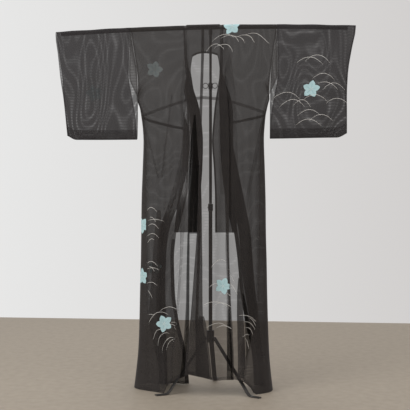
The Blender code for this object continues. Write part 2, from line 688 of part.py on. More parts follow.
def lock_part(name, level, height, radius, screw, look, group, helpers):
    """A short clamp on the mast with its tightening screw on the near side."""
    part = upright(name, radius, level - 0.5 * height, level + 0.5 * height, look, group)
    part.modifiers.clear()
    reach = screw["reach"]

    def shaft(work):
        made = bmesh.ops.create_cone(work, cap_ends=True, segments=12, radius1=screw["shaft"],
                                     radius2=screw["shaft"], depth=reach)
        bmesh.ops.rotate(work, verts=made["verts"], matrix=quarter_turn("X"))
        bmesh.ops.translate(work, verts=made["verts"], vec=(MAST_X, MAST_Y - 0.5 * reach, level))

    union(part, solid_cutter(name + "_shaft", helpers, shaft))

    def bar(work):
        made = bmesh.ops.create_cone(work, cap_ends=True, segments=12, radius1=screw["bar"],
                                     radius2=screw["bar"], depth=2 * screw["bar_half"])
        bmesh.ops.rotate(work, verts=made["verts"], matrix=quarter_turn("Y"))
        bmesh.ops.translate(work, verts=made["verts"],
                            vec=(MAST_X, MAST_Y - reach + screw["bar"] * 0.5, level))

    union(part, solid_cutter(name + "_bar", helpers, bar))
    for hand in (-1, 1):
        ring = ring_cutter(name + "_ring", hand, level, screw, helpers)
        if ring:
            union(part, ring)
    return part


def ring_cutter(name, hand, level, screw, helpers):
    """One wire ring beside a screw, or nothing where it has plain wings."""
    if screw["ring"] <= 0.0:
        return None
    around, section = 20, 8

    def build(work):
        grid = []
        for i in range(around):
            a = 2 * math.pi * i / around
            loop = []
            for j in range(section):
                b = 2 * math.pi * j / section
                out = screw["ring"] + screw["wire"] * math.cos(b)
                loop.append(work.verts.new((
                    MAST_X + hand * screw["ring_x"] + out * math.cos(a),
                    MAST_Y - screw["reach"] + screw["bar"] * 0.5 + screw["wire"] * math.sin(b),
                    level + out * math.sin(a))))
            grid.append(loop)
        for i in range(around):
            for j in range(section):
                k, m = (i + 1) % around, (j + 1) % section
                work.faces.new((grid[i][j], grid[k][j], grid[k][m], grid[i][m]))
        bmesh.ops.recalc_face_normals(work, faces=work.faces)

    return solid_cutter(name, helpers, build)


def quarter_turn(axis):
    """Matrix of a quarter turn about X or Y."""
    return Matrix.Rotation(math.radians(90.0), 3, axis)


def union(part, helper):
    """Join a helper solid to a part."""
    join = part.modifiers.new("join", "BOOLEAN")
    join.operation = "UNION"
    join.solver = "EXACT"
    join.object = helper


# Leg path from the hub to the toe: distance out, height
LEG_PATH = ((0.0185, 0.2270), (0.1760, 0.0290), (0.1860, 0.0140), (0.1960, 0.0050),
            (0.2060, 0.0020), (0.2500, 0.0020))
LEG_WIDE = 0.020
LEG_THICK = 0.004
LEG_TURNS = {"leg_left": 210.0, "leg_right": 330.0, "leg_rear": 90.0}


def leg_part(name, look, group):
    """One flat bar leg with a bent foot flat on the floor."""
    turn = math.radians(LEG_TURNS[name])
    out = np.array([math.cos(turn), math.sin(turn), 0.0])
    across = np.array([-out[1], out[0], 0.0])
    up = np.array([0.0, 0.0, 1.0])
    path = np.array([r * out + z * up for r, z in LEG_PATH])
    base = np.array([MAST_X, MAST_Y, 0.0])
    mesh = bpy.data.meshes.new(name)
    work = bmesh.new()
    loops = []
    for i, point in enumerate(path):
        before = path[max(i - 1, 0)]
        after = path[min(i + 1, len(path) - 1)]
        way = (after - before) / np.linalg.norm(after - before)
        if i == len(path) - 2:
            way = out
        normal = np.cross(way, across)
        loop = []
        for a, b in ((-1, -1), (1, -1), (1, 1), (-1, 1)):
            spot = (base + point + across * a * LEG_WIDE / 2 + normal * b * LEG_THICK / 2)
            loop.append(work.verts.new(tuple(spot)))
        loops.append(loop)
    for first, second in zip(loops[:-1], loops[1:]):
        for j in range(4):
            k = (j + 1) % 4
            work.faces.new((first[j], first[k], second[k], second[j]))
    work.faces.new(loops[0][::-1])
    work.faces.new(loops[-1])
    bmesh.ops.recalc_face_normals(work, faces=work.faces)
    work.to_mesh(mesh)
    work.free()
    part = finish(name, mesh, look, group, smooth=False)
    edge = part.modifiers.new("soft edge", "BEVEL")
    edge.width = 0.0006
    edge.segments = 1
    edge.limit_method = "ANGLE"
    edge.angle_limit = math.radians(50.0)
    return part


def build_cloth(group):
    """The nine cloth pieces."""
    body = material("body gauze", (0.012, 0.011, 0.013), 0.85)
    facing = material("front gauze", (0.012, 0.011, 0.013), 0.85)
    strip = material("collar gauze", (0.010, 0.009, 0.011), 0.85)
    arm = material("sleeve gauze", (0.012, 0.011, 0.013), 0.85)
    hanging = len(ROW_HEIGHTS) - 1

    def below_neck(i, j):
        return i < hanging or j >= NECK_COLUMN

    for side, word in ((-1, "left"), (1, "right")):
        sheet_part("back_" + word, back_grid(side), body, group, keep=below_neck)
        sheet_part("front_" + word, front_grid(side), facing, group)
        sheet_part("overlap_" + word, overlap_grid(side), facing, group)
        sheet_part("sleeve_" + word, sleeve_grid(side), arm, group, closed=True)
    sheet_part("collar", collar_grid(), strip, group)


def build_stand(group, helpers):
    """The pole, the three-part mast with two clamps, the hub and the legs."""
    steel = material("black steel", (0.015, 0.014, 0.013), 0.45, 0.6)
    pole_part(steel, group)
    upright("pole_holder", 0.0080, 1.5153, 1.5385, steel, group)
    upright("mast_upper", 0.0055, 1.3103, 1.5150, steel, group)
    upright("mast_middle", 0.0063, 0.7956, 1.2837, steel, group)
    upright("mast_lower", 0.0080, 0.2560, 0.7647, steel, group)
    upright("hub", 0.0160, 0.2050, 0.2557, steel, group, sides=24)
    ring_screw = {"reach": 0.0150, "shaft": 0.0030, "bar": 0.0024, "bar_half": 0.0100,
                  "ring": 0.0112, "ring_x": 0.0200, "wire": 0.0014}
    lock_part("ring_clamp", 1.297, 0.026, 0.0090, ring_screw, steel, group, helpers)
    wing_screw = {"reach": 0.0170, "shaft": 0.0030, "bar": 0.0024, "bar_half": 0.0110,
                  "ring": 0.0, "ring_x": 0.0, "wire": 0.0}
    lock_part("wing_clamp", 0.780, 0.030, 0.0105, wing_screw, steel, group, helpers)
    for name in LEG_TURNS:
        leg_part(name, steel, group)


def main():
    """Build the garment and its stand."""
    remove_all()
    group = new_collection("summer_kimono")
    helpers = new_collection("cutters")
    helpers.hide_render = True
    build_cloth(group)
    build_stand(group, helpers)


main()
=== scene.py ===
"""Looks of a thin summer kimono hung on a pole stand.

The cloth pieces are thin sheets worked out from the same named sizes as the
CAD solids and refined into smooth surfaces. Hems, seams and tucks are strips
laid on them, and the flowers and grass are thin dyed pieces laid on both
faces of the cloth. Metres, +Z up; the back of the garment faces -Y.
"""
import logging
import math
from dataclasses import dataclass, field
from enum import Enum
from typing import Callable, Sequence

import bpy
import numpy as np
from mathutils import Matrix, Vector


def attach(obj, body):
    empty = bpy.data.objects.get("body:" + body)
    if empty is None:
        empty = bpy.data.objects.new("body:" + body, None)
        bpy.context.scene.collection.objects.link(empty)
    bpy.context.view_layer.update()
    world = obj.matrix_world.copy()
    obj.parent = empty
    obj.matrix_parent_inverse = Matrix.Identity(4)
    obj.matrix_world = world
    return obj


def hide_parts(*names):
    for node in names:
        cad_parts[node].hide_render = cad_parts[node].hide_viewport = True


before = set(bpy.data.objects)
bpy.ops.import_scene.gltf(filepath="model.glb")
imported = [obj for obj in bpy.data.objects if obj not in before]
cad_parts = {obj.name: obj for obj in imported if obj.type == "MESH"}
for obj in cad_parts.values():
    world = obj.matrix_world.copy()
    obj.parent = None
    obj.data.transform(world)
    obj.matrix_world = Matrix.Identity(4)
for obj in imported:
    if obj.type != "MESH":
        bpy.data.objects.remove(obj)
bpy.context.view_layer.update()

Grid = np.ndarray
Table = Sequence[Sequence[float]]
Socket = bpy.types.NodeSocket
log = logging.getLogger("kimono")

SIDES = ((-1, "left"), (1, "right"))

# Garment sizes
SEAM_GAP = 0.0002
SHOULDER_HALF = 0.314
SLEEVE_BOTTOM = 1.071
CUFF_OPENING = 0.225
CORNER_RADIUS = 0.023
ARMHOLE_Z = 1.350
SIDE_SEAM_TOP = 1.245
COLLAR_END_Z = 0.670
OVERLAP_TOP = 1.330
OVERLAP_FIRST = 1.300
FOLD_DEPTH = 0.0085
FOLD_ROUND = 0.008
FOLD_FORMS = 0.006
FOLD_FLATTENS = (0.005, 0.009)
HEM_CLEARANCE = 0.0006

# Stand sizes
MAST_X = 0.032
MAST_Y = -0.0575
POLE_Z = 1.548
POLE_DROOP = 0.015
DROOP_REACH = 0.620
OVER_POLE = 0.0105
NECK_OVER_POLE = 0.0113
COLLAR_OVER_POLE = 0.0130

# Columns across each piece, by control of its section, and rows up the cloth
BACK_PLACES = (17.5, 18.5, 19.0, 19.5, 20.0, 20.6, 21.3, 22.0, 22.7, 23.4, 24.2, 25.0,
               25.5, 26.0, 27.5, 29.0, 29.5, 30.0, 30.9, 31.7, 32.4, 33.0, 33.5, 34.0,
               34.5, 35.0)
FRONT_PLACES = (0.0, 0.7, 1.3, 1.9, 2.5, 3.1, 3.7, 4.15, 4.4, 4.6, 4.8, 5.0, 5.2, 5.4,
                5.6, 5.8, 6.1, 7.0, 7.5, 8.0, 9.0, 9.5)
OVERLAP_PLACES = (9.5, 10.0, 11.0, 11.5, 12.0, 12.8, 13.4, 13.8, 14.2, 14.7, 15.3, 16.0)
COLLAR_PLACES = (0.0, 1.0, 2.0, 2.7, 3.6, 4.6, 5.8, 6.5, 7.2, 8.2, 9.0, 9.8, 10.5, 11.0)
NECK_COLUMN = 6
NECK_HALF = 0.0800
SLEEVE_STATIONS = 9

ROW_HEIGHTS = (0.0, 0.07, 0.16, 0.29, 0.42, 0.55, 0.67, 0.80, 0.94, 1.07, 1.17,
               1.21, SIDE_SEAM_TOP, OVERLAP_FIRST, OVERLAP_TOP, ARMHOLE_Z, 1.46, POLE_Z)
POLE_ANGLES = (30.0, 60.0, 90.0)

# Depth of the cloth before and behind the mast at each height:
# z, near sheet, near sheet at the side seam, side fold, far sheet, far wave
DEPTH_ROWS = (
    (0.000, -0.095, -0.068, 0.045, 0.090, 0.005),
    (0.130, -0.089, -0.052, 0.026, 0.080, 0.005),
    (0.300, -0.080, -0.042, 0.016, 0.066, 0.005),
    (0.500, -0.072, -0.038, 0.010, 0.056, 0.005),
    (0.670, -0.065, -0.036, 0.008, 0.048, 0.005),
    (0.850, -0.058, -0.033, 0.006, 0.042, 0.005),
    (1.070, -0.050, -0.028, 0.004, 0.034, 0.004),
    (1.245, -0.034, -0.017, 0.000, 0.026, 0.002),
    (1.350, -0.022, -0.014, 0.000, 0.018, 0.001),
    (1.460, -0.0145, -0.0125, 0.000, 0.013, 0.000),
    (1.548, -0.0105, -0.0105, 0.000, 0.0105, 0.000),
)

# Near sheet: z, side seam, pleat overlap, left pleat, right pleat, left
# edge of the centre fold, overlap of the centre fold
NEAR_ROWS = (
    (0.000, 0.180, 0.012, 0.128, 0.132, -0.066, 0.104),
    (0.130, 0.190, 0.010, 0.122, 0.128, -0.060, 0.092),
    (0.300, 0.228, 0.010, 0.104, 0.122, -0.043, 0.052),
    (0.500, 0.236, 0.010, 0.090, 0.116, -0.030, 0.036),
    (0.670, 0.240, 0.014, 0.082, 0.110, -0.019, 0.022),
    (0.850, 0.241, 0.024, 0.074, 0.106, -0.012, 0.011),
    (0.940, 0.2415, 0.026, 0.071, 0.104, -0.010, 0.005),
    (1.070, 0.243, 0.028, 0.068, 0.102, -0.008, 0.000),
    (1.245, 0.278, 0.018, 0.066, 0.098, -0.004, 0.000),
    (1.350, 0.318, 0.0045, 0.066, 0.094, -0.002, 0.000),
    (1.460, 0.3155, 0.000, 0.070, 0.092, 0.000, 0.000),
    (1.548, 0.314, 0.000, 0.080, 0.090, 0.000, 0.000),
)

# Far sheet, right and left: z, side fold, inner crease, outer crease,
# collar seam or front edge
FAR_RIGHT = (
    (0.000, 0.297, 0.235, 0.262, 0.212),
    (0.100, 0.286, 0.228, 0.256, 0.208),
    (0.190, 0.279, 0.215, 0.245, 0.196),
    (0.307, 0.275, 0.192, 0.234, 0.171),
    (0.384, 0.273, 0.178, 0.224, 0.158),
    (0.530, 0.271, 0.160, 0.210, 0.145),
    (0.670, 0.268, 0.150, 0.200, 0.128),
    (0.850, 0.266, 0.110, 0.165, 0.092),
    (1.070, 0.259, 0.080, 0.120, 0.075),
    (1.170, 0.2665, 0.0920, 0.0985, 0.0740),
    (1.210, 0.2740, 0.0960, 0.0985, 0.0735),
    (1.245, 0.2835, 0.100, 0.100, 0.073),
    (1.350, 0.287, 0.150, 0.150, 0.0755),
    (1.460, 0.303, 0.150, 0.150, 0.0790),
    (1.548, 0.314, 0.150, 0.150, NECK_HALF),
)
FAR_LEFT = (
    (0.000, 0.306, 0.165, 0.205, 0.074),
    (0.128, 0.288, 0.168, 0.212, 0.084),
    (0.273, 0.279, 0.170, 0.215, 0.116),
    (0.397, 0.275, 0.172, 0.215, 0.132),
    (0.504, 0.271, 0.170, 0.213, 0.137),
    (0.670, 0.268, 0.155, 0.200, 0.125),
    (0.850, 0.266, 0.095, 0.140, 0.080),
    (1.070, 0.258, 0.060, 0.094, 0.060),
    (1.170, 0.2660, 0.0800, 0.0865, 0.0630),
    (1.210, 0.2735, 0.0850, 0.0875, 0.0645),
    (1.245, 0.2835, 0.090, 0.090, 0.066),
    (1.350, 0.287, 0.150, 0.150, 0.071),
    (1.460, 0.303, 0.150, 0.150, 0.0775),
    (1.548, 0.314, 0.150, 0.150, NECK_HALF),
)

# Collar below the neck: seam height, outer crease, free edge, how far the
# free edge hangs below the seam
COLLAR_RIGHT = (
    (0.670, 0.1400, 0.045, 0.000),
    (0.750, 0.1400, 0.045, 0.000),
    (0.900, 0.1300, 0.043, 0.000),
    (1.070, 0.1250, 0.032, 0.004),
    (1.250, 0.1200, 0.048, 0.020),
    (1.326, 0.0980, 0.058, 0.040),
    (1.400, 0.0780, 0.066, 0.064),
    (1.435, 0.0710, 0.068, 0.078),
    (1.460, 0.0700, 0.069, 0.086),
)
COLLAR_LEFT = (
    (0.670, 0.1370, 0.026, 0.000),
    (0.750, 0.1300, 0.026, 0.000),
    (0.900, 0.1050, 0.014, 0.000),
    (1.070, 0.0950, 0.008, 0.004),
    (1.250, 0.0900, 0.026, 0.020),
    (1.326, 0.0830, 0.044, 0.040),
    (1.400, 0.0720, 0.052, 0.064),
    (1.435, 0.0650, 0.055, 0.078),
    (1.460, 0.0640, 0.056, 0.086),
)
COLLAR_HEIGHTS = (0.67, 0.80, 0.94, 1.07, 1.17, 1.21, SIDE_SEAM_TOP, OVERLAP_FIRST, OVERLAP_TOP,
                  ARMHOLE_Z, 1.40, 1.435, 1.46)

# How far inside its seam the collar turns back
COLLAR_TURN = 0.007

# Free edge of the collar behind the neck: x, z
NECK_EDGE = ((-0.0460, 1.430), (-0.0250, 1.440), (0.0, 1.443), (0.0400, 1.439),
             (0.0580, 1.432))
NECK_SEAM_HALF = 0.0690
NECK_EDGE_DEPTH = 0.0235
NECK_LAST_ANGLE = 182.0
NECK_ARC_POINTS = 25

# Lift of the near hem over the legs: x, lift
HEM_LIFT = ((-0.156, 0.0), (-0.143, 0.030), (-0.118, 0.055), (-0.090, 0.068),
            (-0.070, 0.070), (-0.052, 0.088), (0.0, 0.077), (0.070, 0.062),
            (0.130, 0.066), (0.160, 0.064), (0.182, 0.055), (0.207, 0.030),
            (0.222, 0.0))
LIFT_REACH = 0.40

# Folds laid on the backs, left and right: height and the two edges of a fold.
# Deep ones are painted shade: near-black bands where the fold lies in shadow.
# A soft one starts with its cover as a share of the cloth's.
PAINTED_SHADE_FOLDS = {
    -1: (((0.02, -0.091, -0.072), (0.08, -0.084, -0.062), (0.16, -0.077, -0.053),
          (0.25, -0.071, -0.050), (0.37, -0.064, -0.049), (0.50, -0.063, -0.050),
          (0.68, -0.059, -0.051)),
         ((0.645, -0.057, -0.016), (0.85, -0.056, -0.012), (0.95, -0.054, -0.013),
          (1.03, -0.049, -0.017), (1.10, -0.042, -0.022), (1.17, -0.034, -0.028))),
    1: (((0.05, 0.109, 0.132), (0.17, 0.109, 0.132), (0.26, 0.110, 0.125),
         (0.36, 0.114, 0.117)),
        ((0.06, 0.190, 0.210), (0.15, 0.188, 0.209), (0.25, 0.184, 0.206),
         (0.35, 0.177, 0.194), (0.44, 0.170, 0.174))),
}
SOFT_FOLDS = {
    -1: ((0.90, ((0.12, -0.070, -0.052), (0.37, -0.062, -0.050), (0.60, -0.061, -0.050),
                 (0.82, -0.056, -0.050))),
         (1.20, ((0.04, -0.240, -0.195), (0.18, -0.237, -0.186), (0.39, -0.224, -0.177),
                 (0.60, -0.207, -0.174), (0.72, -0.197, -0.172), (0.80, -0.186, -0.176))),
         (0.60, ((0.88, -0.178, -0.170), (1.04, -0.160, -0.152), (1.26, -0.134, -0.127))),
         (0.60, ((0.88, -0.184, -0.174), (0.98, -0.211, -0.202), (1.12, -0.246, -0.239))),
         (0.50, ((0.83, -0.066, -0.016), (1.02, -0.078, -0.018), (1.24, -0.097, -0.050),
                 (1.42, -0.081, -0.058), (1.50, -0.078, -0.066)))),
    1: ((0.90, ((0.10, 0.110, 0.138), (0.17, 0.110, 0.138), (0.25, 0.107, 0.133),
                (0.37, 0.107, 0.126), (0.48, 0.107, 0.121), (0.60, 0.101, 0.112),
                (0.78, 0.101, 0.108))),
        (1.35, ((0.07, 0.154, 0.188), (0.16, 0.154, 0.186), (0.25, 0.152, 0.182),
                (0.33, 0.150, 0.176), (0.42, 0.150, 0.170), (0.50, 0.156, 0.162))),
        (1.20, ((0.06, -0.012, 0.050), (0.10, -0.012, 0.046), (0.16, -0.012, 0.040),
                (0.24, -0.012, 0.030), (0.30, -0.012, 0.022), (0.345, -0.003, 0.008))),
        (0.60, ((0.74, 0.172, 0.186), (0.84, 0.188, 0.202), (1.00, 0.220, 0.236),
                (1.16, 0.252, 0.262))),
        (0.60, ((0.81, 0.080, 0.158), (1.10, 0.070, 0.148), (1.27, 0.084, 0.140),
                (1.41, 0.084, 0.122), (1.50, 0.086, 0.098)))),
}

# Waves of the near and the far cloth, and how it leans at the side seam
RIPPLE_DEPTH = 0.0035
RIPPLE_LENGTH = 0.082
WAVE_LENGTH = 0.062
SLOW_WAVE_LENGTH = 0.113
RIGHT_HEM_FORWARD = 0.022
SIDE_GAP = 0.0015
SIDE_LEAN = math.radians(28.0)
SIDE_MARGIN = 0.022
CENTRE_MARGIN = 0.030
OVERLAP_WIDTH = 0.135
OVERLAP_WIDEST = 0.150
TUCK_Z = 1.190

# Creases laid on the sheets: spacing of the upright and of the slanting ones
UPRIGHT_SPACING = 0.047
DRAG_SPACING = 0.085

# How finely the sheets are split, how flat they may turn before they hide
# more, and cover of turned edges and of the painted shade in deep folds
ROW_PARTS = 4
COLUMN_PARTS = 3
RING_PARTS = 3
STATION_PARTS = 4
STRIP_POINTS = 4
HEM_POINTS = 5
FOLD_POINTS = 6
HANGING_ROWS = (len(ROW_HEIGHTS) - 1) * ROW_PARTS
LEAST_FACING = 0.42
TURNED_COVER = 0.5
PAINTED_SHADE_COVER = 1.02

# Motifs: petals of a flower, and points along a brush stroke
PETALS = 5
STROKE_POINTS = 19

# Finishes: scale of a wave texture whose bands lie a metre apart, and relief
BAND_SCALE = 0.314
RELIEF_DEPTH = 0.0002

# Armhole seam from its lower end up to the shoulder, near and far sheet
ARMHOLE_NEAR = (0.3180, 0.3140)
ARMHOLE_FAR = (0.2870, 0.3140)
# Open inner edge of a sleeve below the armhole: z, near, far
SLEEVE_INNER = ((1.071, 0.2860, 0.2840), (1.120, 0.2860, 0.2840),
                (1.245, 0.3020, 0.2850), (1.350, 0.3188, 0.2878))
# Cuff edge: z, left, right
SLEEVE_OUTER = ((1.071, 0.592, 0.607), (1.200, 0.604, 0.607),
                (1.335, 0.618, 0.609), (1.548, 0.643, 0.643))
# Half depths of a sleeve: over the pole, fullness below it, ripple, foot, the
# rounding above the foot and the sewn cuff; then how far both walls sway
SLEEVE_OVER_POLE = OVER_POLE + 0.0003
SLEEVE_FULLNESS = 0.007
SLEEVE_RIPPLE = 0.0030
SLEEVE_FOOT = 0.0035
SLEEVE_FOOT_ROUND = 0.0065
SLEEVE_SEWN = 0.0013
SLEEVE_SWAY = 0.006


def smoothstep(value: Grid | float) -> Grid:
    """Ease a value from 0 to 1, flat at both ends.

    Args:
        value: Number or array, clipped to 0..1.

    Returns:
        The eased value.
    """
    value = np.clip(value, 0.0, 1.0)
    return value * value * (3.0 - 2.0 * value)


def eased(part: Grid | float, span: Grid | float, ends: tuple, slopes: tuple) -> Grid:
    """Run smoothly from one value to the next with given slopes.

    Args:
        part: How far between the two, from 0 to 1.
        span: Distance between the two.
        ends: The two values.
        slopes: The slope at each.

    Returns:
        The values there.
    """
    square, cube = part ** 2, part ** 3
    return ((2 * cube - 3 * square + 1) * ends[0] + (cube - 2 * square + part) * span * slopes[0]
            + (3 * square - 2 * cube) * ends[1] + (cube - square) * span * slopes[1])


def table_at(rows: Table, height: float) -> Grid:
    """Read every column of a table at one height, with eased slopes.

    Args:
        rows: Table whose first column is the height.
        height: Height to read at.

    Returns:
        The other columns' values there.
    """
    data = np.asarray(rows, dtype=float)
    keys = data[:, 0]
    values = data[:, 1:]
    height = min(max(height, keys[0]), keys[-1])
    slopes = np.diff(values, axis=0) / np.diff(keys)[:, None]
    tangents = np.vstack([slopes[:1], 0.5 * (slopes[1:] + slopes[:-1]), slopes[-1:]])
    turning = np.zeros_like(tangents, dtype=bool)
    turning[1:-1] = slopes[1:] * slopes[:-1] <= 0.0
    tangents[turning] = 0.0
    index = int(np.clip(np.searchsorted(keys, height) - 1, 0, len(keys) - 2))
    span = keys[index + 1] - keys[index]
    return eased((height - keys[index]) / span, span, (values[index], values[index + 1]),
                 (tangents[index], tangents[index + 1]))


def spline(controls: Table, places: Grid) -> Grid:
    """Points of a cubic B-spline.

    Args:
        controls: Control points.
        places: Where to read it, counted in controls.

    Returns:
        One point a place.
    """
    points = np.asarray(controls, dtype=float)
    points = np.vstack([2 * points[0] - points[1], points, 2 * points[-1] - points[-2]])
    places = np.clip(np.asarray(places, dtype=float), 0.0, len(controls) - 1.0)
    index = np.minimum(places.astype(int), len(controls) - 2)
    t = (places - index)[:, None]
    weights = ((1 - t) ** 3 / 6, (3 * t ** 3 - 6 * t ** 2 + 4) / 6,
               (-3 * t ** 3 + 3 * t ** 2 + 3 * t + 1) / 6, t ** 3 / 6)
    return sum(weights[k] * points[index + k] for k in range(4))


def finer(places: Sequence[float], parts: int) -> Grid:
    """Split every step between places into equal parts."""
    count = (len(places) - 1) * parts + 1
    return np.interp(np.arange(count) / parts, np.arange(len(places)), places)


def armhole(edges: Sequence[float], height: float) -> float:
    """Distance out of the armhole seam at one height."""
    part = (height - ARMHOLE_Z) / (POLE_Z - ARMHOLE_Z)
    return edges[0] + (edges[1] - edges[0]) * min(max(part, 0.0), 1.0)


def pole_axis(x: Grid | float) -> Grid | float:
    """Height of the drooping pole's axis at x."""
    return POLE_Z - POLE_DROOP * (x / DROOP_REACH) ** 2


def place(path: Grid, side: int, height: float, near: Grid | float) -> Grid:
    """Turn section points into points in space.

    Args:
        path: Distance out and depth of each point.
        side: -1 on the left, 1 on the right.
        height: Height of the section before droop and hem lift.
        near: 1 on the near sheet, whose hem is lifted over the legs.

    Returns:
        The points.
    """
    x = side * path[:, 0]
    lift = np.interp(x, *zip(*HEM_LIFT))
    ease = max(0.0, 1.0 - height / LIFT_REACH) ** 2
    sink = POLE_DROOP * (x / DROOP_REACH) ** 2 * smoothstep((height - 0.9) / 0.5)
    z = height + HEM_CLEARANCE * (height == 0.0) + near * lift * ease - sink
    return np.column_stack([x, path[:, 1] + MAST_Y, z])


def over_pole(x: float, angle: float, radius: float = OVER_POLE) -> tuple:
    """A point over the pole: 0 degrees is its near side, 90 its top."""
    turn = math.radians(angle)
    return (x, MAST_Y - radius * math.cos(turn), pole_axis(x) + radius * math.sin(turn))


def fold_shape(overlap: float) -> tuple:
    """Work out how far a fold has formed from how wide it is.

    Args:
        overlap: Width of the fold.

    Returns:
        Share of the fold that is there, share that lies flat, and how far its
        creases are rounded.
    """
    amount = float(smoothstep(overlap / FOLD_FORMS))
    tight = float(smoothstep((overlap - FOLD_FLATTENS[0]) / FOLD_FLATTENS[1]))
    return amount, tight, min(0.4 * overlap, FOLD_ROUND) * tight


def fold_controls(flat: Grid, crease_in: float, crease_out: float, depth: float,
                  step: float) -> tuple:
    """Controls of one fold that lies flat, doubled back on itself.

    Args:
        flat: Where the eight controls lie when there is no fold.
        crease_in: Inner crease.
        crease_out: Outer crease.
        depth: Depth before the fold.
        step: Depth of one layer.

    Returns:
        The eight controls, and the depth after the fold.
    """
    amount, tight, back = fold_shape(abs(crease_out - crease_in))
    back = back * np.sign(crease_in - crease_out)
    folded = np.array([crease_in - back, crease_in, crease_in, crease_in - back,
                       crease_out + back, crease_out, crease_out, crease_out + back])
    levels = np.linspace(0.0, 2.0, 8)
    levels += (np.array([0.0, 0.0, 1.0, 1.0, 1.0, 1.0, 2.0, 2.0]) - levels) * tight
    levels *= step * amount
    x = flat + (folded - flat) * amount
    return [(x[k], depth + levels[k]) for k in range(8)], depth + 2 * step * amount


def edge_depths(side: int, height: float) -> tuple:
    """Work out how far forward the near sheet hangs.

    Args:
        side: -1 on the left, 1 on the right.
        height: Height of the section.

    Returns:
        Depth of the sheet, and of its side seam.
    """
    depth, edge_depth = table_at(DEPTH_ROWS, height)[:2]
    if side > 0:
        edge_depth -= RIGHT_HEM_FORWARD * float(smoothstep((0.20 - height) / 0.12))
    return depth, edge_depth


def side_slope(height: float) -> float:
    """Lean of the cloth towards the far side at the side seam."""
    return SIDE_LEAN * float(smoothstep((1.25 - height) / 0.15))


def near_half(side: int, height: float, middle: float) -> list:
    """Lay out one half of the near sheet, from its middle outwards.

    Args:
        side: -1 on the left, 1 on the right.
        height: Height of the section.
        middle: Where the half starts.

    Returns:
        Distance out and depth of each control.
    """
    depth, edge_depth = edge_depths(side, height)
    seam, pleat, left_pleat, right_pleat = table_at(NEAR_ROWS, height)[:4]
    if height >= ARMHOLE_Z:
        seam = armhole(ARMHOLE_NEAR, height)
    pleat_x = right_pleat if side > 0 else left_pleat
    before = 0.45 * pleat_x + 0.55 * middle
    slope = side_slope(height)
    end = np.array([seam, edge_depth])
    lean = end - SIDE_MARGIN * np.array([math.cos(slope), math.sin(slope)])
    after = pleat_x + min(0.040, 0.45 * (lean[0] - pleat_x))
    flat = np.linspace(before, after, 10)[1:9]
    tucked, level = fold_controls(flat, pleat_x + 0.5 * pleat, pleat_x - 0.5 * pleat,
                                  depth, 0.6 * FOLD_DEPTH)
    between = (0.5 * (after + lean[0]), 0.75 * depth + 0.25 * edge_depth)
    return [(before, depth)] + tucked + [(after, level), between, tuple(lean), tuple(end)]


def near_row(side: int, height: float, places: Grid) -> Grid:
    """Section of one back panel from the centre seam to the side.

    Args:
        side: -1 on the left, 1 on the right.
        height: Height of the section.
        places: Where to read it, counted in controls.

    Returns:
        Distance out and depth of each point.
    """
    depth = table_at(DEPTH_ROWS, height)[0]
    seam, edge, overlap = table_at(NEAR_ROWS, height)[[0, 4, 5]]
    first, last = edge - CENTRE_MARGIN, edge + overlap + CENTRE_MARGIN
    flat = np.linspace(first, last, 10)[1:9]
    centre, level = fold_controls(flat, edge + overlap, edge, depth, -FOLD_DEPTH)
    left = [(-x, y) for x, y in near_half(-1, height, -first)][::-1]
    right = near_half(1, height, last)
    controls = left + [(first, depth)] + centre + [(last, level)] + right
    places = np.asarray(places)
    if side < 0:
        places = len(controls) - 1.0 - places
    path = spline(controls, places)
    ripple = RIPPLE_DEPTH * float(smoothstep((1.2 - height) / 0.5))
    x = path[:, 0]
    inside = smoothstep((seam - 0.02 - np.abs(x)) / 0.04)
    path[:, 1] += ripple * inside * np.sin(2 * math.pi * x / RIPPLE_LENGTH + 0.8)
    return path * np.array([float(side), 1.0])


def overlap_width(height: float) -> float:
    """Width of the narrow front piece at one height."""
    wide = OVERLAP_WIDTH * (OVERLAP_TOP - height) / (OVERLAP_TOP - COLLAR_END_Z)
    return min(max(wide, 0.0), OVERLAP_WIDEST)


def far_wave(side: int, x: Grid, height: float) -> Grid:
    """Soft upright waves of the far cloth, uneven from side to side.

    Args:
        side: -1 on the left, 1 on the right.
        x: Distance out of each point.
        height: Height of the section.

    Returns:
        The wave at each point, as a share of its depth.
    """
    drift = 0.35 * math.sin(3.1 * height + side)
    return (np.sin(2 * math.pi * x / (WAVE_LENGTH + 0.004 * side) + drift)
            + 0.25 * np.sin(2 * math.pi * x / SLOW_WAVE_LENGTH + 1.7))


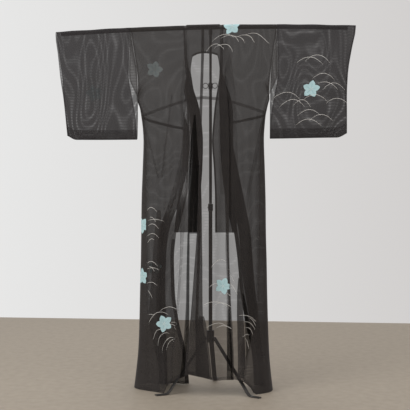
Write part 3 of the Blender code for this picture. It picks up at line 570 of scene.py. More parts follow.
def far_row(side: int, height: float, places: Grid) -> Grid:
    """Section of one front from the side seam round to its inner edge.

    Args:
        side: -1 on the left, 1 on the right.
        height: Height of the section.
        places: Where to read it, counted in controls.

    Returns:
        Distance out and depth of each point.
    """
    edge_depth = edge_depths(side, height)[1]
    fold_depth, depth, wave = table_at(DEPTH_ROWS, height)[2:]
    seam = table_at(NEAR_ROWS, min(height, SIDE_SEAM_TOP))[0]
    rows = FAR_RIGHT if side > 0 else FAR_LEFT
    fold_x, crease_in, crease_out, inner = table_at(rows, height)
    crease_out = max(crease_in, crease_out)
    if height >= ARMHOLE_Z:
        fold_x = armhole(ARMHOLE_FAR, height)
    open_from = ARMHOLE_Z + 0.01
    wrap = min(max((open_from - height) / (open_from - SIDE_SEAM_TOP), 0.0), 1.0)
    slope = side_slope(height)
    way = np.array([math.cos(slope), math.sin(slope)])
    gap = SIDE_GAP * float(smoothstep((height - 1.17) / 0.07))
    start = np.array([seam, edge_depth]) + gap * way
    reach = max(fold_x - seam, 0.004)
    round_side = np.array([start, start + 0.35 * reach * way,
                           (fold_x, edge_depth + 0.55 * (fold_depth - edge_depth)),
                           (fold_x + 0.002, 0.5 * (fold_depth + depth)),
                           (fold_x - 0.022, depth)])
    open_side = np.array([(fold_x - inwards, depth)
                          for inwards in (0.0, 0.012, 0.028, 0.048, 0.070)])
    head = open_side + (round_side - open_side) * wrap
    joint = inner + overlap_width(height)
    amount = fold_shape(crease_out - crease_in)[0]
    before = 0.5 * (head[-1][0] + joint + (crease_in - joint) * amount)
    flat = np.concatenate([before + (joint - before) * np.array([0.3, 0.55, 0.75, 0.9]),
                           joint + (inner - joint) * np.array([0.1, 0.25, 0.4, 0.55])])
    tucked, level = fold_controls(flat, crease_in, crease_out, depth, FOLD_DEPTH)
    ends = np.array([joint + (inner - joint) * 0.7, joint + (inner - joint) * 0.85])
    tight = np.array([0.5 * (crease_out + inner), inner + 0.012])
    ends = ends + (tight - ends) * amount
    controls = list(head) + [(before, depth)] + tucked
    controls += [(ends[0], level), (ends[1], level), (inner, level)]
    path = spline(controls, places)
    x = path[:, 0]
    far = smoothstep((path[:, 1] - fold_depth) / max(depth - fold_depth, 0.01))
    inside = far * smoothstep((fold_x - 0.006 - x) / 0.04)
    path[:, 1] += wave * inside * far_wave(side, x, height)
    return path


def front_near(points: Grid, height: float) -> Grid:
    """How far each point of a front belongs to the lifted near hem."""
    fold_depth = table_at(DEPTH_ROWS, height)[2]
    return smoothstep((fold_depth - 0.02 - points[:, 1]) / 0.03)


def collar_row(side: int, height: float, places: Grid) -> Grid:
    """One collar section below the neck, from its seam to the free edge.

    Args:
        side: -1 on the left, 1 on the right.
        height: Height of the seam there.
        places: Where to read it, counted in controls.

    Returns:
        The points.
    """
    seam_x, base = far_row(side, height, (16.0,))[0]
    wave = table_at(DEPTH_ROWS, height)[4]
    rows = COLLAR_RIGHT if side > 0 else COLLAR_LEFT
    crease, edge, hang = table_at(rows, height)
    base -= wave * float(far_wave(side, seam_x, height))
    seam_x = seam_x - SEAM_GAP
    turn = seam_x - COLLAR_TURN
    overlap = max(crease - turn, 0.0)
    crease = turn + overlap
    amount, tight, back = fold_shape(overlap)
    low, high = base + FOLD_DEPTH, base + 2 * FOLD_DEPTH
    folded = np.array([(seam_x, base, 0.0), (turn + 0.002, base, 0.0), (turn, base, 0.02),
                       (turn, low, 0.08), (turn + back, low, 0.15), (crease - back, low, 0.38),
                       (crease, low, 0.45), (crease, high, 0.52), (crease - back, high, 0.58),
                       (0.6 * crease + 0.4 * edge, high, 0.72),
                       (0.2 * crease + 0.8 * edge, high, 0.90), (edge, high, 1.0)])
    even = base + 2 * FOLD_DEPTH * np.clip((np.arange(12) - 1.0) / 7.0, 0.0, 1.0)
    folded[:, 1] = even + (folded[:, 1] - even) * tight
    part = np.linspace(0.0, 1.0, len(folded))
    flat = np.column_stack([seam_x + (edge - seam_x) * part, base + 0.010 * part, part])
    path = spline(flat + (folded - flat) * amount, places)
    path[:, 1] += wave * far_wave(side, path[:, 0], height)
    row = place(path[:, :2], side, height, 0.0)
    row[:, 2] -= hang * path[:, 2]
    return row


def neck_row(x_seam: float, start_angle: float, edge_x: float, edge_z: float,
             count: int) -> Grid:
    """One collar section over the pole, from the neck seam to the free edge.

    Args:
        x_seam: Where the seam lies along the pole.
        start_angle: Where the seam lies round the pole.
        edge_x: Free edge along the pole.
        edge_z: Height of the free edge.
        count: Number of points.

    Returns:
        The points.
    """
    arc = []
    for angle in np.linspace(start_angle, NECK_LAST_ANGLE, NECK_ARC_POINTS):
        part = (angle - start_angle) / (NECK_LAST_ANGLE - start_angle + 1e-6)
        x = x_seam + (edge_x - x_seam) * 0.15 * part
        grow = min((angle - start_angle) / 50.0, 1.0)
        arc.append(over_pole(x, angle,
                             NECK_OVER_POLE + (COLLAR_OVER_POLE - NECK_OVER_POLE) * grow))
    arc = np.vstack([np.array(arc), [edge_x, MAST_Y + NECK_EDGE_DEPTH, edge_z]])
    along = lengths(arc)
    part = np.linspace(0.0, 1.0, count) ** 1.6 * along[-1]
    return np.column_stack([np.interp(part, along, arc[:, k]) for k in range(3)])


def sleeve_x(side: int, wall: int, height: float, station: float) -> float:
    """Work out how far along a sleeve a point lies.

    Args:
        side: -1 on the left, 1 on the right.
        wall: -1 on the near wall, 1 on the far one.
        height: Height of the point.
        station: 0 at the armhole, 1 at the cuff.

    Returns:
        Distance out from the mast's side.
    """
    inner = table_at(SLEEVE_INNER, height)[0 if wall < 0 else 1]
    if height >= ARMHOLE_Z:
        inner = armhole(ARMHOLE_NEAR if wall < 0 else ARMHOLE_FAR, height) + 0.0008
    outer = table_at(SLEEVE_OUTER, height)[0 if side < 0 else 1]
    return inner + (outer - inner) * station


def sleeve_point(side: int, wall: int, height: float, station: float) -> tuple:
    """Work out one point of a sleeve wall below the pole.

    Args:
        side: -1 on the left, 1 on the right.
        wall: -1 on the near wall, 1 on the far one.
        height: Height of the point before droop.
        station: 0 at the armhole, 1 at the cuff.

    Returns:
        The point.
    """
    x = sleeve_x(side, wall, height, station)
    drop = (height - SLEEVE_BOTTOM) / (POLE_Z - SLEEVE_BOTTOM)
    full = SLEEVE_OVER_POLE + SLEEVE_FULLNESS * math.sin(math.pi * min(drop * 1.15, 1.0))
    full += SLEEVE_RIPPLE * math.sin(9.0 * station + 2.0 * side + 1.5 * wall) * (1.0 - drop)
    foot = SLEEVE_FOOT + SLEEVE_FOOT_ROUND * float(smoothstep(drop / 0.08))
    half = min(full, foot) if drop < 0.08 else full
    sewn = float(smoothstep((POLE_Z - CUFF_OPENING - height) / 0.05))
    pinch = float(smoothstep((station - 0.60) / 0.40)) * sewn
    half = half + (SLEEVE_SEWN - half) * pinch
    sway = SLEEVE_SWAY * math.sin(5.0 * station + side) * (1.0 - drop)
    outer = table_at(SLEEVE_OUTER, SLEEVE_BOTTOM)[0 if side < 0 else 1]
    corner = max(0.0, x - (outer - CORNER_RADIUS))
    rise = CORNER_RADIUS - math.sqrt(max(CORNER_RADIUS ** 2 - corner ** 2, 0.0))
    rise = min(rise, 0.8 * CORNER_RADIUS) * max(0.0, 1.0 - 2.2 * drop)
    sink = POLE_DROOP * (x / DROOP_REACH) ** 2 * drop
    return (side * x, MAST_Y + wall * half + sway, height + rise - sink)


def between_rows(points: Grid, parts: int) -> Grid:
    """Add rows between rows, smooth and without overshoot.

    Args:
        points: Rows of points.
        parts: Parts that each step is split into.

    Returns:
        The finer rows.
    """
    step = np.linalg.norm(np.diff(points, axis=0), axis=2).mean(axis=1)
    keys = np.append(0.0, np.cumsum(step))
    slope = np.diff(points, axis=0) / step[:, None, None]
    both = slope[1:] * slope[:-1]
    total = slope[1:] + slope[:-1]
    inner = np.where(both > 0.0, 2.0 * both / np.where(np.abs(total) > 1e-9, total, 1.0), 0.0)
    tangent = np.concatenate([slope[:1], inner, slope[-1:]])
    spots = finer(keys, parts)
    index = np.clip(np.searchsorted(keys, spots, side="right") - 1, 0, len(keys) - 2)
    span = step[index][:, None, None]
    part = (spots - keys[index])[:, None, None] / span
    return eased(part, span, (points[index], points[index + 1]),
                 (tangent[index], tangent[index + 1]))


def between_columns(points: Grid, parts: int) -> Grid:
    """Add columns between columns, smooth and without overshoot."""
    return between_rows(points.transpose(1, 0, 2), parts).transpose(1, 0, 2)


def turned_under(out: Grid) -> Grid:
    """Where the rows of a sheet run back in, under cloth that lies further out."""
    return out < np.maximum.accumulate(out, axis=1) - 1e-4


def lengths(points: Grid) -> Grid:
    """Length along a line of points, counted from its first."""
    return np.append(0.0, np.cumsum(np.linalg.norm(np.diff(points, axis=0), axis=1)))


class Face(Enum):
    """Which way a sheet's outer face looks."""

    NEAR = -1.0
    FAR = 1.0
    ROUND = 0.0


class Dye(Enum):
    """Colours dyed on the cloth, and a brighter copy of the pale blue that is painted light."""

    PALE_BLUE = "dye_pale_blue"
    DEEP_TEAL = "dye_deep_teal"
    WHITE = "dye_white"
    FADED_BLUE = "dye_painted_light_blue"


class MaterialNodes:
    """A new material, and the few kinds of node that the finishes use."""

    def __init__(self, name: str) -> None:
        """Start the material with its main shader and object coordinates.

        Args:
            name: Name of the material.
        """
        self.made = bpy.data.materials.new(name)
        self.made.use_nodes = True
        tree = self.made.node_tree
        self.nodes, self.links = tree.nodes, tree.links
        self.shader = tree.nodes["Principled BSDF"]
        self.place = self.nodes.new("ShaderNodeTexCoord").outputs["Object"]

    def noise(self, scale: float, detail: float, vector: Socket | None = None) -> Socket:
        """Add a noise texture.

        Args:
            scale: Blotches a metre.
            detail: Levels of detail.
            vector: Coordinates, where they aren't the object's own.

        Returns:
            The noise's value.
        """
        made = self.nodes.new("ShaderNodeTexNoise")
        made.inputs["Scale"].default_value = scale
        made.inputs["Detail"].default_value = detail
        self.links.new(vector or self.place, made.inputs["Vector"])
        return made.outputs["Fac"]

    def stretched(self, scale: Sequence[float]) -> Socket:
        """Scale the object's coordinates apart along each axis.

        Args:
            scale: Scale along each axis.

        Returns:
            The coordinates.
        """
        made = self.nodes.new("ShaderNodeMapping")
        made.inputs["Scale"].default_value = scale
        self.links.new(self.place, made.inputs["Vector"])
        return made.outputs["Vector"]

    def bands(self, axis: str, spacing: float, wander: float) -> Socket:
        """Add soft bands that follow each other along an axis.

        Args:
            axis: The axis, by its letter.
            spacing: Distance from one band to the next.
            wander: How far the bands stray from straight.

        Returns:
            The bands' value.
        """
        made = self.nodes.new("ShaderNodeTexWave")
        made.wave_type = "BANDS"
        made.bands_direction = axis
        made.inputs["Scale"].default_value = BAND_SCALE / spacing
        made.inputs["Distortion"].default_value = wander
        self.links.new(self.place, made.inputs["Vector"])
        return made.outputs["Fac"]

    def math(self, operation: str, *values: Socket | float) -> Socket:
        """Work out one operation on sockets and constants.

        Args:
            operation: The operation, as the math node names it.
            values: What it works on, in order.

        Returns:
            The result.
        """
        made = self.nodes.new("ShaderNodeMath")
        made.operation = operation
        for number, value in enumerate(values):
            if isinstance(value, bpy.types.NodeSocket):
                self.links.new(value, made.inputs[number])
            else:
                made.inputs[number].default_value = value
        return made.outputs[0]

    def scaled(self, value: Socket, factor: float, offset: float) -> Socket:
        """A value times factor, plus offset."""
        return self.math("MULTIPLY_ADD", value, factor, offset)

    def added(self, one: Socket, other: Socket) -> Socket:
        """Add two values and keep the sum between 0 and 1.

        Args:
            one: The first value.
            other: The second value.

        Returns:
            The sum.
        """
        total = self.math("ADD", one, other)
        total.node.use_clamp = True
        return total

    def tint(self, blend: Socket, first: Sequence[float], second: Sequence[float]) -> None:
        """Colour the shader with two colours.

        Args:
            blend: 0 for the first colour, 1 for the second.
            first: The first colour.
            second: The second colour.
        """
        mix = self.nodes.new("ShaderNodeMix")
        mix.data_type = "RGBA"
        mix.inputs["A"].default_value = (*first, 1.0)
        mix.inputs["B"].default_value = (*second, 1.0)
        self.links.new(blend, mix.inputs["Factor"])
        self.links.new(mix.outputs["Result"], self.shader.inputs["Base Color"])

    def roughen(self, scale: float, detail: float, spread: float, least: float) -> None:
        """Vary the shader's roughness in small blotches.

        Args:
            scale: Blotches a metre.
            detail: Levels of detail.
            spread: From the smoothest place to the roughest.
            least: Roughness of the smoothest place.
        """
        rough = self.scaled(self.noise(scale, detail), spread, least)
        self.links.new(rough, self.shader.inputs["Roughness"])

    def relief(self, height: Socket, strength: float) -> None:
        """Put fine relief on the surface.

        Args:
            height: The relief.
            strength: How strong it looks.
        """
        bump = self.nodes.new("ShaderNodeBump")
        bump.inputs["Strength"].default_value = strength
        bump.inputs["Distance"].default_value = RELIEF_DEPTH
        self.links.new(height, bump.inputs["Height"])
        self.links.new(bump.outputs["Normal"], self.shader.inputs["Normal"])


@dataclass(frozen=True)
class Gauze:
    """Finish of one kind of gauze; how much it hides comes from each cloth."""

    name: str
    moire: float
    moire_lines: float
    colour: tuple = (0.034, 0.0295, 0.0280)
    moire_shape: tuple = (4.0, 4.0, 3.0)
    gloss: float = 0.22
    sheen: float = 0.10
    slub: float = 0.035
    slub_shape: tuple = (900.0, 900.0, 14.0)
    thread: float = 0.0009
    dot: float = 0.0125
    uneven: float = 0.28

    def material(self) -> bpy.types.Material:
        """Sheer black silk: weave relief, thread slubs, moire and sheen.

        Returns:
            The material.
        """
        made = MaterialNodes(self.name)
        made.shader.inputs["Specular IOR Level"].default_value = self.gloss
        made.shader.inputs["Sheen Weight"].default_value = self.sheen
        made.shader.inputs["Sheen Roughness"].default_value = 0.45
        made.shader.inputs["Sheen Tint"].default_value = (0.80, 0.78, 0.82, 1.0)
        made.tint(made.noise(9.0, 3.0), [tone * (1.0 - self.uneven) for tone in self.colour],
                  [tone * (1.0 + self.uneven) for tone in self.colour])
        made.roughen(60.0, 2.0, 0.16, 0.72)
        # Two layers of weave beat against each other in dotted contour lines.
        blotches = made.noise(1.0, 1.0, made.stretched(self.moire_shape))
        rings = made.math("SINE", made.scaled(blotches, self.moire_lines, 0.0))
        lines = made.math("POWER", made.scaled(rings, 0.5, 0.5), 5.0)
        beat = made.math("MULTIPLY", lines, made.scaled(made.bands("Z", self.dot, 0.8), 0.75, 0.25))
        slub = made.noise(1.0, 2.0, made.stretched(self.slub_shape))
        cover = made.nodes.new("ShaderNodeAttribute")
        cover.attribute_name = "cover"
        total = made.added(cover.outputs["Fac"], made.scaled(beat, -self.moire, 0.12 * self.moire))
        total = made.added(total, made.scaled(slub, self.slub, -0.5 * self.slub))
        made.links.new(total, made.shader.inputs["Alpha"])
        threads = [made.bands(axis, self.thread, 0.6) for axis in "XZ"]
        made.relief(made.added(*threads), 0.25)
        return made.made


@dataclass(frozen=True)
class DyedSilk:
    """Finish of a dyed motif: matte colour, uneven where the dye took."""

    name: str
    light: tuple
    deep_tone_and_painted_shade: tuple

    def material(self) -> bpy.types.Material:
        """Dyed silk with soft blotches and the weave in relief.

        Returns:
            The material.
        """
        made = MaterialNodes(self.name)
        made.shader.inputs["Specular IOR Level"].default_value = 0.15
        made.tint(made.noise(75.0, 3.0), self.light, self.deep_tone_and_painted_shade)
        made.roughen(400.0, 2.0, 0.15, 0.75)
        made.relief(made.noise(1400.0, 1.0), 0.2)
        return made.made


@dataclass(frozen=True)
class BlackSteel:
    """Finish of the stand: satin black paint, a little rubbed."""

    name: str = "satin_black_steel"
    paint: tuple = (0.040, 0.037, 0.035)
    rubbed: tuple = (0.095, 0.088, 0.080)
    rubbed_from: float = 0.60
    rubbed_through: float = 0.78

    def material(self) -> bpy.types.Material:
        """Painted steel with fine orange peel and rubbed patches.

        Returns:
            The material.
        """
        made = MaterialNodes(self.name)
        made.shader.inputs["Metallic"].default_value = 0.25
        made.shader.inputs["Coat Weight"].default_value = 0.25
        made.shader.inputs["Coat Roughness"].default_value = 0.3
        worn = made.nodes.new("ShaderNodeValToRGB")
        worn.color_ramp.elements[0].position = self.rubbed_from
        worn.color_ramp.elements[0].color = (*self.paint, 1.0)
        worn.color_ramp.elements[1].position = self.rubbed_through
        worn.color_ramp.elements[1].color = (*self.rubbed, 1.0)
        made.links.new(made.noise(55.0, 5.0), worn.inputs["Fac"])
        made.links.new(worn.outputs["Color"], made.shader.inputs["Base Color"])
        made.roughen(130.0, 3.0, 0.25, 0.28)
        made.relief(made.noise(700.0, 2.0), 0.12)
        return made.made


@dataclass(frozen=True)
class Concrete:
    """Finish of the studio floor."""

    name: str = "studio_floor"
    light: tuple = (0.43, 0.37, 0.30)
    dark: tuple = (0.31, 0.265, 0.21)

    def material(self) -> bpy.types.Material:
        """Plain pale concrete with a soft mottle.

        Returns:
            The material.
        """
        made = MaterialNodes(self.name)
        made.shader.inputs["Specular IOR Level"].default_value = 0.3
        made.shader.inputs["Roughness"].default_value = 0.6
        made.tint(made.noise(28.0, 8.0), self.light, self.dark)
        return made.made


def creased(points: Grid, normals: Grid, depth: float, seed: float) -> Grid:
    """Push a sheet in and out along soft uneven creases.

    Args:
        points: Rows of points.
        normals: Their normals.
        depth: Depth of the creases.
        seed: Shifts the pattern from piece to piece.

    Returns:
        The creased points.
    """
    x, z = points[..., 0], points[..., 2]
    upright = np.sin(2 * math.pi * (x + 0.012 * np.sin(4.1 * z + seed)) / UPRIGHT_SPACING
                     + seed)
    upright *= smoothstep((1.30 - z) / 0.5)
    drag = np.sin(2 * math.pi * (0.62 * np.abs(x) + z) / DRAG_SPACING + 2.0 * seed)
    drag *= smoothstep((z - 1.02) / 0.25) * 0.6
    soft = np.sin(9.0 * x + 3.0 * z + seed) * np.sin(7.0 * z - 5.0 * x + 2.0 * seed)
    rows, columns = points.shape[:2]
    along = np.minimum(np.arange(rows), np.arange(rows)[::-1]) / (0.10 * rows)
    across = np.minimum(np.arange(columns), np.arange(columns)[::-1]) / (0.15 * columns)
    inside = smoothstep(along)[:, None] * smoothstep(across)[None, :]
    push = depth * inside * (0.55 * upright + drag + 0.5 * soft)
    return points + normals * push[..., None]


def quads(high: int, wide: int, keep: Callable[[int, int], bool] | None = None) -> list:
    """Faces of a grid of points.

    Args:
        high: Rows of points.
        wide: Points of a row.
        keep: Says by row and column which faces stay, where not all do.

    Returns:
        The faces.
    """
    return [(i * wide + j, i * wide + j + 1, (i + 1) * wide + j + 1, (i + 1) * wide + j)
            for i in range(high - 1) for j in range(wide - 1) if keep is None or keep(i, j)]


@dataclass
class Cloth:
    """One sheet of cloth as rows of points, with strips and motifs laid on it.

    clear is the share of light that one layer lets through face on, and share
    thins that cover where the solids have a layer more than the garment.
    """

    name: str
    points: Grid
    face: Face
    clear: float
    keep: Callable[[int, int], bool] | None = None
    share: Grid | None = None
    normals: Grid = field(init=False)

    def __post_init__(self) -> None:
        """Work out the outward normals."""
        self.normals = self.outward()

    def outward(self) -> Grid:
        """Unit normals that look out of the garment.

        Returns:
            One normal a point.
        """
        up = np.gradient(self.points, axis=0)
        across = np.gradient(self.points, axis=1)
        normal = np.cross(across, up)
        normal /= np.maximum(np.linalg.norm(normal, axis=2), 1e-9)[..., None]
        if self.face is Face.ROUND:
            middle = self.points.mean(axis=1, keepdims=True)
            turn = np.sign(np.sum(normal * (self.points - middle)))
        else:
            turn = np.sign(np.median(normal[..., 1])) * self.face.value
        return normal * turn

    def crease(self, depth: float, seed: float) -> None:
        """Lay soft uneven creases in the sheet."""
        self.points = creased(self.points, self.normals, depth, seed)
        self.normals = self.outward()

    def cover(self, normals: Grid) -> Grid:
        """How much each point hides: more where the cloth turns edge on."""
        depth = np.maximum(np.abs(normals[..., 1]), LEAST_FACING)
        return 1.0 - self.clear ** (1.0 / depth)

    def at(self, rows: Grid, columns: Grid, lift: Grid | float) -> Grid:
        """Points on the cloth between its own.

        Args:
            rows: Rows, with fractions.
            columns: Columns, with fractions.
            lift: Distance out of the cloth.

        Returns:
            The points.
        """
        high, wide = self.points.shape[:2]
        rows = np.clip(rows, 0.0, high - 1.0)
        columns = np.clip(columns, 0.0, wide - 1.0)
        i = np.minimum(rows.astype(int), high - 2)
        j = np.minimum(columns.astype(int), wide - 2)
        u, v = (rows - i)[..., None], (columns - j)[..., None]
        shift = np.asarray(lift)[..., None]
        spot, normal = (grid[i, j] * (1 - u) * (1 - v) + grid[i + 1, j] * u * (1 - v)
                        + grid[i, j + 1] * (1 - u) * v + grid[i + 1, j + 1] * u * v
                        for grid in (self.points, self.normals))
        return spot + normal * shift

    def nearest(self, x: float, z: float, face: Face) -> tuple:
        """Row and column of the outermost point closest to a place.

        Args:
            x: Place along the pole.
            z: Height.
            face: Which way the place looks.

        Returns:
            The row and the column.
        """
        gap = np.hypot(self.points[..., 0] - x, self.points[..., 2] - z)
        gap = gap - 0.35 * face.value * (self.points[..., 1] - MAST_Y)
        return np.unravel_index(np.argmin(gap), gap.shape)

    def build(self, look: bpy.types.Material, slot: str) -> bpy.types.Object:
        """Make the sheet as an object that rides on the stand.

        Args:
            look: Its material.
            slot: The record's material slot; not used.

        Returns:
            The object.
        """
        faces = quads(*self.points.shape[:2], self.keep)
        cover = self.cover(self.normals)
        if self.share is not None:
            cover = cover * self.share
        made = mesh_object(self.name, self.points.reshape(-1, 3), faces, (look,),
                           cover=cover.ravel())
        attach(made, "root")
        return made

    def strip(self, rows: Grid, columns: Grid, lift: float) -> tuple:
        """A strip of a second layer laid on the cloth.

        Args:
            rows: Rows of the strip's points, with fractions.
            columns: Columns of the strip's points, with fractions.
            lift: Distance out of the cloth.

        Returns:
            Its points, faces and cover.
        """
        points = self.at(rows, columns, lift)
        normals = self.at(rows, columns, lift + 1.0) - points
        return points.reshape(-1, 3), quads(*points.shape[:2]), self.cover(normals).ravel()


def mesh_object(name: str, points: Grid, faces: list, looks: Sequence[bpy.types.Material],
                cover: Grid | None = None, slots: list | None = None) -> bpy.types.Object:
    """Make a smooth mesh object without its loose points.

    Args:
        name: Name of the piece.
        points: Its points.
        faces: Its faces.
        looks: Its materials.
        cover: How much each point hides.
        slots: Material of each face.

    Returns:
        The object.
    """
    used = sorted({k for face in faces for k in face})
    index = {old: new for new, old in enumerate(used)}
    mesh = bpy.data.meshes.new(name)
    mesh.from_pydata([tuple(points[k]) for k in used], [],
                     [tuple(index[k] for k in face) for face in faces])
    if cover is not None:
        mark = mesh.attributes.new("cover", "FLOAT", "POINT")
        mark.data.foreach_set("value", np.asarray(cover)[used].astype(np.float32))
    for look in looks:
        mesh.materials.append(look)
    for number, face in enumerate(mesh.polygons):
        face.use_smooth = True
        if slots is not None:
            face.material_index = slots[number]
    mesh.update()
    made = bpy.data.objects.new(name, mesh)
    bpy.context.scene.collection.objects.link(made)
    return made


def merged(parts: list) -> tuple:
    """Stack the points and faces of parts.

    Args:
        parts: Parts that start with their points and faces.

    Returns:
        All points and all faces.
    """
    points, faces, first = [], [], 0
    for spots, polygons, _ in parts:
        points.append(spots)
        faces += [tuple(k + first for k in polygon) for polygon in polygons]
        first += len(spots)
    return np.vstack(points), faces


def joined(name: str, parts: list, look: bpy.types.Material,
           cover_share: float = 1.0) -> bpy.types.Object:
    """Join strips into one piece.

    Args:
        name: Name of the piece.
        parts: Points, faces and cover of each strip.
        look: Its material.
        cover_share: Cover as a share of the cloth's own.

    Returns:
        The object.
    """
    cover = np.concatenate([hides for _, _, hides in parts]) * cover_share
    made = mesh_object(name, *merged(parts), (look,), cover=cover)
    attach(made, "root")
    return made


@dataclass
class Motif:
    """A motif drawn flat, to be laid on a cloth."""

    outline: Grid
    faces: list
    dye: Dye
    lift: float = 0.0006


def bellflower(size: float, turn: float) -> list:
    """A five-petalled bellflower seen from above.

    Args:
        size: Distance from its middle to a petal's tip.
        turn: Turn in degrees.

    Returns:
        Its pieces.
    """
    steps, rings = 60, 5
    angles = np.arange(steps) * 2 * math.pi / steps
    part = np.abs(np.mod(angles * PETALS / (2 * math.pi), 1.0) - 0.5) * 2.0
    edge = size * (0.60 + 0.40 * part ** 0.85)
    spots = [np.zeros((1, 2))]
    for ring in range(1, rings + 1):
        reach = edge * ring / rings
        spots.append(np.column_stack([np.cos(angles + math.radians(turn)),
                                      np.sin(angles + math.radians(turn))]) * reach[:, None])
    faces = []
    for k in range(steps):
        after = (k + 1) % steps
        faces.append((0, 1 + k, 1 + after))
        for ring in range(rings - 1):
            low, high = 1 + ring * steps, 1 + (ring + 1) * steps
            faces.append((low + k, high + k, high + after, low + after))
    pieces = [Motif(np.vstack(spots), faces, Dye.PALE_BLUE)]
    for petal in range(PETALS):
        for way, start, stop, width, dye, lift in (
                (petal, 0.10, 0.62, 0.0009, Dye.DEEP_TEAL, 0.0009),
                (petal + 0.5, 0.04, 0.26, 0.0012, Dye.WHITE, 0.0010)):
            angle = math.radians(turn + 360.0 / PETALS * way)
            reach = size * np.array([math.cos(angle), math.sin(angle)])
            pieces.append(stroke(start * reach, stop * reach, 0.0, width, dye, lift))
    return pieces


def stroke(start: Sequence[float], stop: Sequence[float], rise: float, width: float, dye: Dye,
           lift: float = 0.0006) -> Motif:
    """One tapering brush stroke on an arch.

    Args:
        start: Where it starts.
        stop: Where it ends.
        rise: Height of the arch over its chord.
        width: Width at its middle.
        dye: Its colour.
        lift: Distance out of the cloth.

    Returns:
        The stroke.
    """
    t = np.linspace(0.0, 1.0, STROKE_POINTS)
    ends = np.array([start, stop], dtype=float)
    path = ends[0] + (ends[1] - ends[0]) * t[:, None]
    path[:, 1] += rise * 4.0 * t * (1.0 - t)
    way = np.gradient(path, axis=0)
    way /= np.maximum(np.linalg.norm(way, axis=1), 1e-9)[:, None]
    half = 0.5 * width * (0.30 + 0.70 * np.sin(math.pi * t) ** 0.7)
    off = np.column_stack([-way[:, 1], way[:, 0]]) * half[:, None]
    return Motif(np.vstack([path - off, path + off]), quads(2, STROKE_POINTS), dye, lift)


# Grass as arches over a middle, in centimetres: left foot, its height,
# span, fall to the right foot, rise
GRASS_WIDE = ((-17.0, -5.0, 12.0, 0.5, 3.4), (-13.0, -7.8, 10.0, 0.4, 3.2),
              (-7.5, -7.0, 7.0, -0.6, 2.8), (-4.0, -4.8, 10.0, -0.4, 2.6),
              (-8.0, 11.0, 11.0, -0.6, 2.8), (-4.4, 11.8, 10.2, -0.8, 3.0),
              (-1.0, 4.2, 9.6, -0.5, 2.6), (1.8, 2.4, 8.6, -2.6, 1.6),
              (3.8, -0.4, 9.4, 0.0, 3.0), (5.6, -6.0, 9.2, -0.4, 2.4),
              (-5.4, -11.2, 9.0, 0.1, 2.5), (-0.8, -13.4, 9.2, 0.2, 2.6),
              (-6.0, -15.4, 10.0, -0.1, 2.8))
GRASS_SHOULDER = ((-8.0, -4.2, 9.6, 1.2, 2.4), (-4.2, -3.0, 9.0, -2.0, 2.2),
                  (0.0, -2.6, 8.2, -3.4, 1.6), (3.2, -2.2, 8.6, -3.2, 1.8),
                  (6.2, -1.6, 9.4, -3.6, 2.2), (-10.6, -8.6, 9.4, 0.6, 2.8),
                  (-5.6, -7.4, 10.2, -2.6, 2.8))
GRASS_HEM = ((-8.4, -4.0, 10.0, 4.4, 3.0), (-2.0, 2.0, 8.4, -0.6, 2.0),
             (-5.6, -13.0, 8.0, 5.6, 2.2), (-7.6, -10.6, 7.6, 4.6, 2.0),
             (-3.0, -15.6, 8.6, 6.0, 2.6), (0.6, -14.2, 7.4, 3.4, 2.4),
             (3.0, -3.0, 5.0, -2.6, 1.2), (-1.0, -6.4, 6.4, 1.8, 1.8))
GRASS_EDGE_HIGH = ((0.2, 6.4, 4.6, -0.6, 1.6), (0.6, 2.2, 7.4, -0.4, 0.7),
                   (0.8, -0.2, 5.0, -1.2, 1.5), (1.6, 3.4, 2.8, -1.8, 0.8),
                   (0.2, -4.6, 5.6, -0.5, 1.5), (0.4, -7.4, 3.2, 1.4, 1.0))
GRASS_EDGE_LOW = ((0.3, 5.6, 5.2, -1.0, 1.4), (0.2, 3.2, 6.0, -0.2, 0.8),
                  (1.4, 4.4, 2.6, -2.2, 0.6), (0.2, -2.8, 5.2, -0.8, 0.9),
                  (0.4, -5.8, 2.2, -3.2, 0.4), (0.2, -16.0, 3.6, 0.0, 0.1))
GRASS_RIGHT = ((-3.4, 3.4, 9.4, -4.0, 1.6), (-1.4, 0.8, 6.2, -3.8, 1.4),
               (0.6, 2.6, 3.8, -3.6, 0.8), (0.4, -6.0, 3.8, -4.8, 0.8),
               (-0.6, -1.6, 4.6, -3.0, 1.2), (-1.0, -5.4, 3.2, 0.6, 0.8))
GRASS_LOW = ((-5.0, 4.6, 6.6, 2.2, 1.8), (-8.0, -11.0, 9.6, -0.8, 1.6),
             (-4.6, -11.6, 9.0, -1.6, 2.0), (-6.0, -3.8, 4.4, 1.4, 0.8),
             (2.6, 3.6, 4.6, -5.4, 1.8), (3.4, -1.2, 5.0, -5.6, 1.4),
             (-7.0, -20.4, 8.8, 0.0, 1.8), (-3.4, -20.6, 8.2, -1.8, 1.6),
             (1.6, -6.4, 3.2, -4.2, 1.0), (3.0, 8.6, 2.4, 4.8, 0.6))
GRASS_FAINT = ((-6.0, -5.0, 9.0, 0.4, 2.6), (-1.5, -6.5, 8.0, -0.8, 2.2),
               (-4.0, 4.5, 8.6, -0.4, 2.4), (2.0, 1.5, 7.6, -1.6, 2.0))


def grass(rows: Table, width: float = 0.0013) -> list:
    """Arching grass blades.

    Args:
        rows: One of the grass tables.
        width: Width of a blade at its middle.

    Returns:
        Its strokes.
    """
    cm = 0.01
    return [stroke((left * cm, low * cm), ((left + span) * cm, (low + fall) * cm), rise * cm,
                   width, Dye.WHITE) for left, low, span, fall, rise in rows]


def with_painted_light(motifs: list) -> list:
    """Give motifs that show through a second layer a paler, brighter blue: painted light that makes
    up for the shade the layer casts on them.

    Args:
        motifs: The motifs.

    Returns:
        The same motifs.
    """
    for motif in motifs:
        if motif.dye is Dye.PALE_BLUE:
            motif.dye = Dye.FADED_BLUE
    return motifs


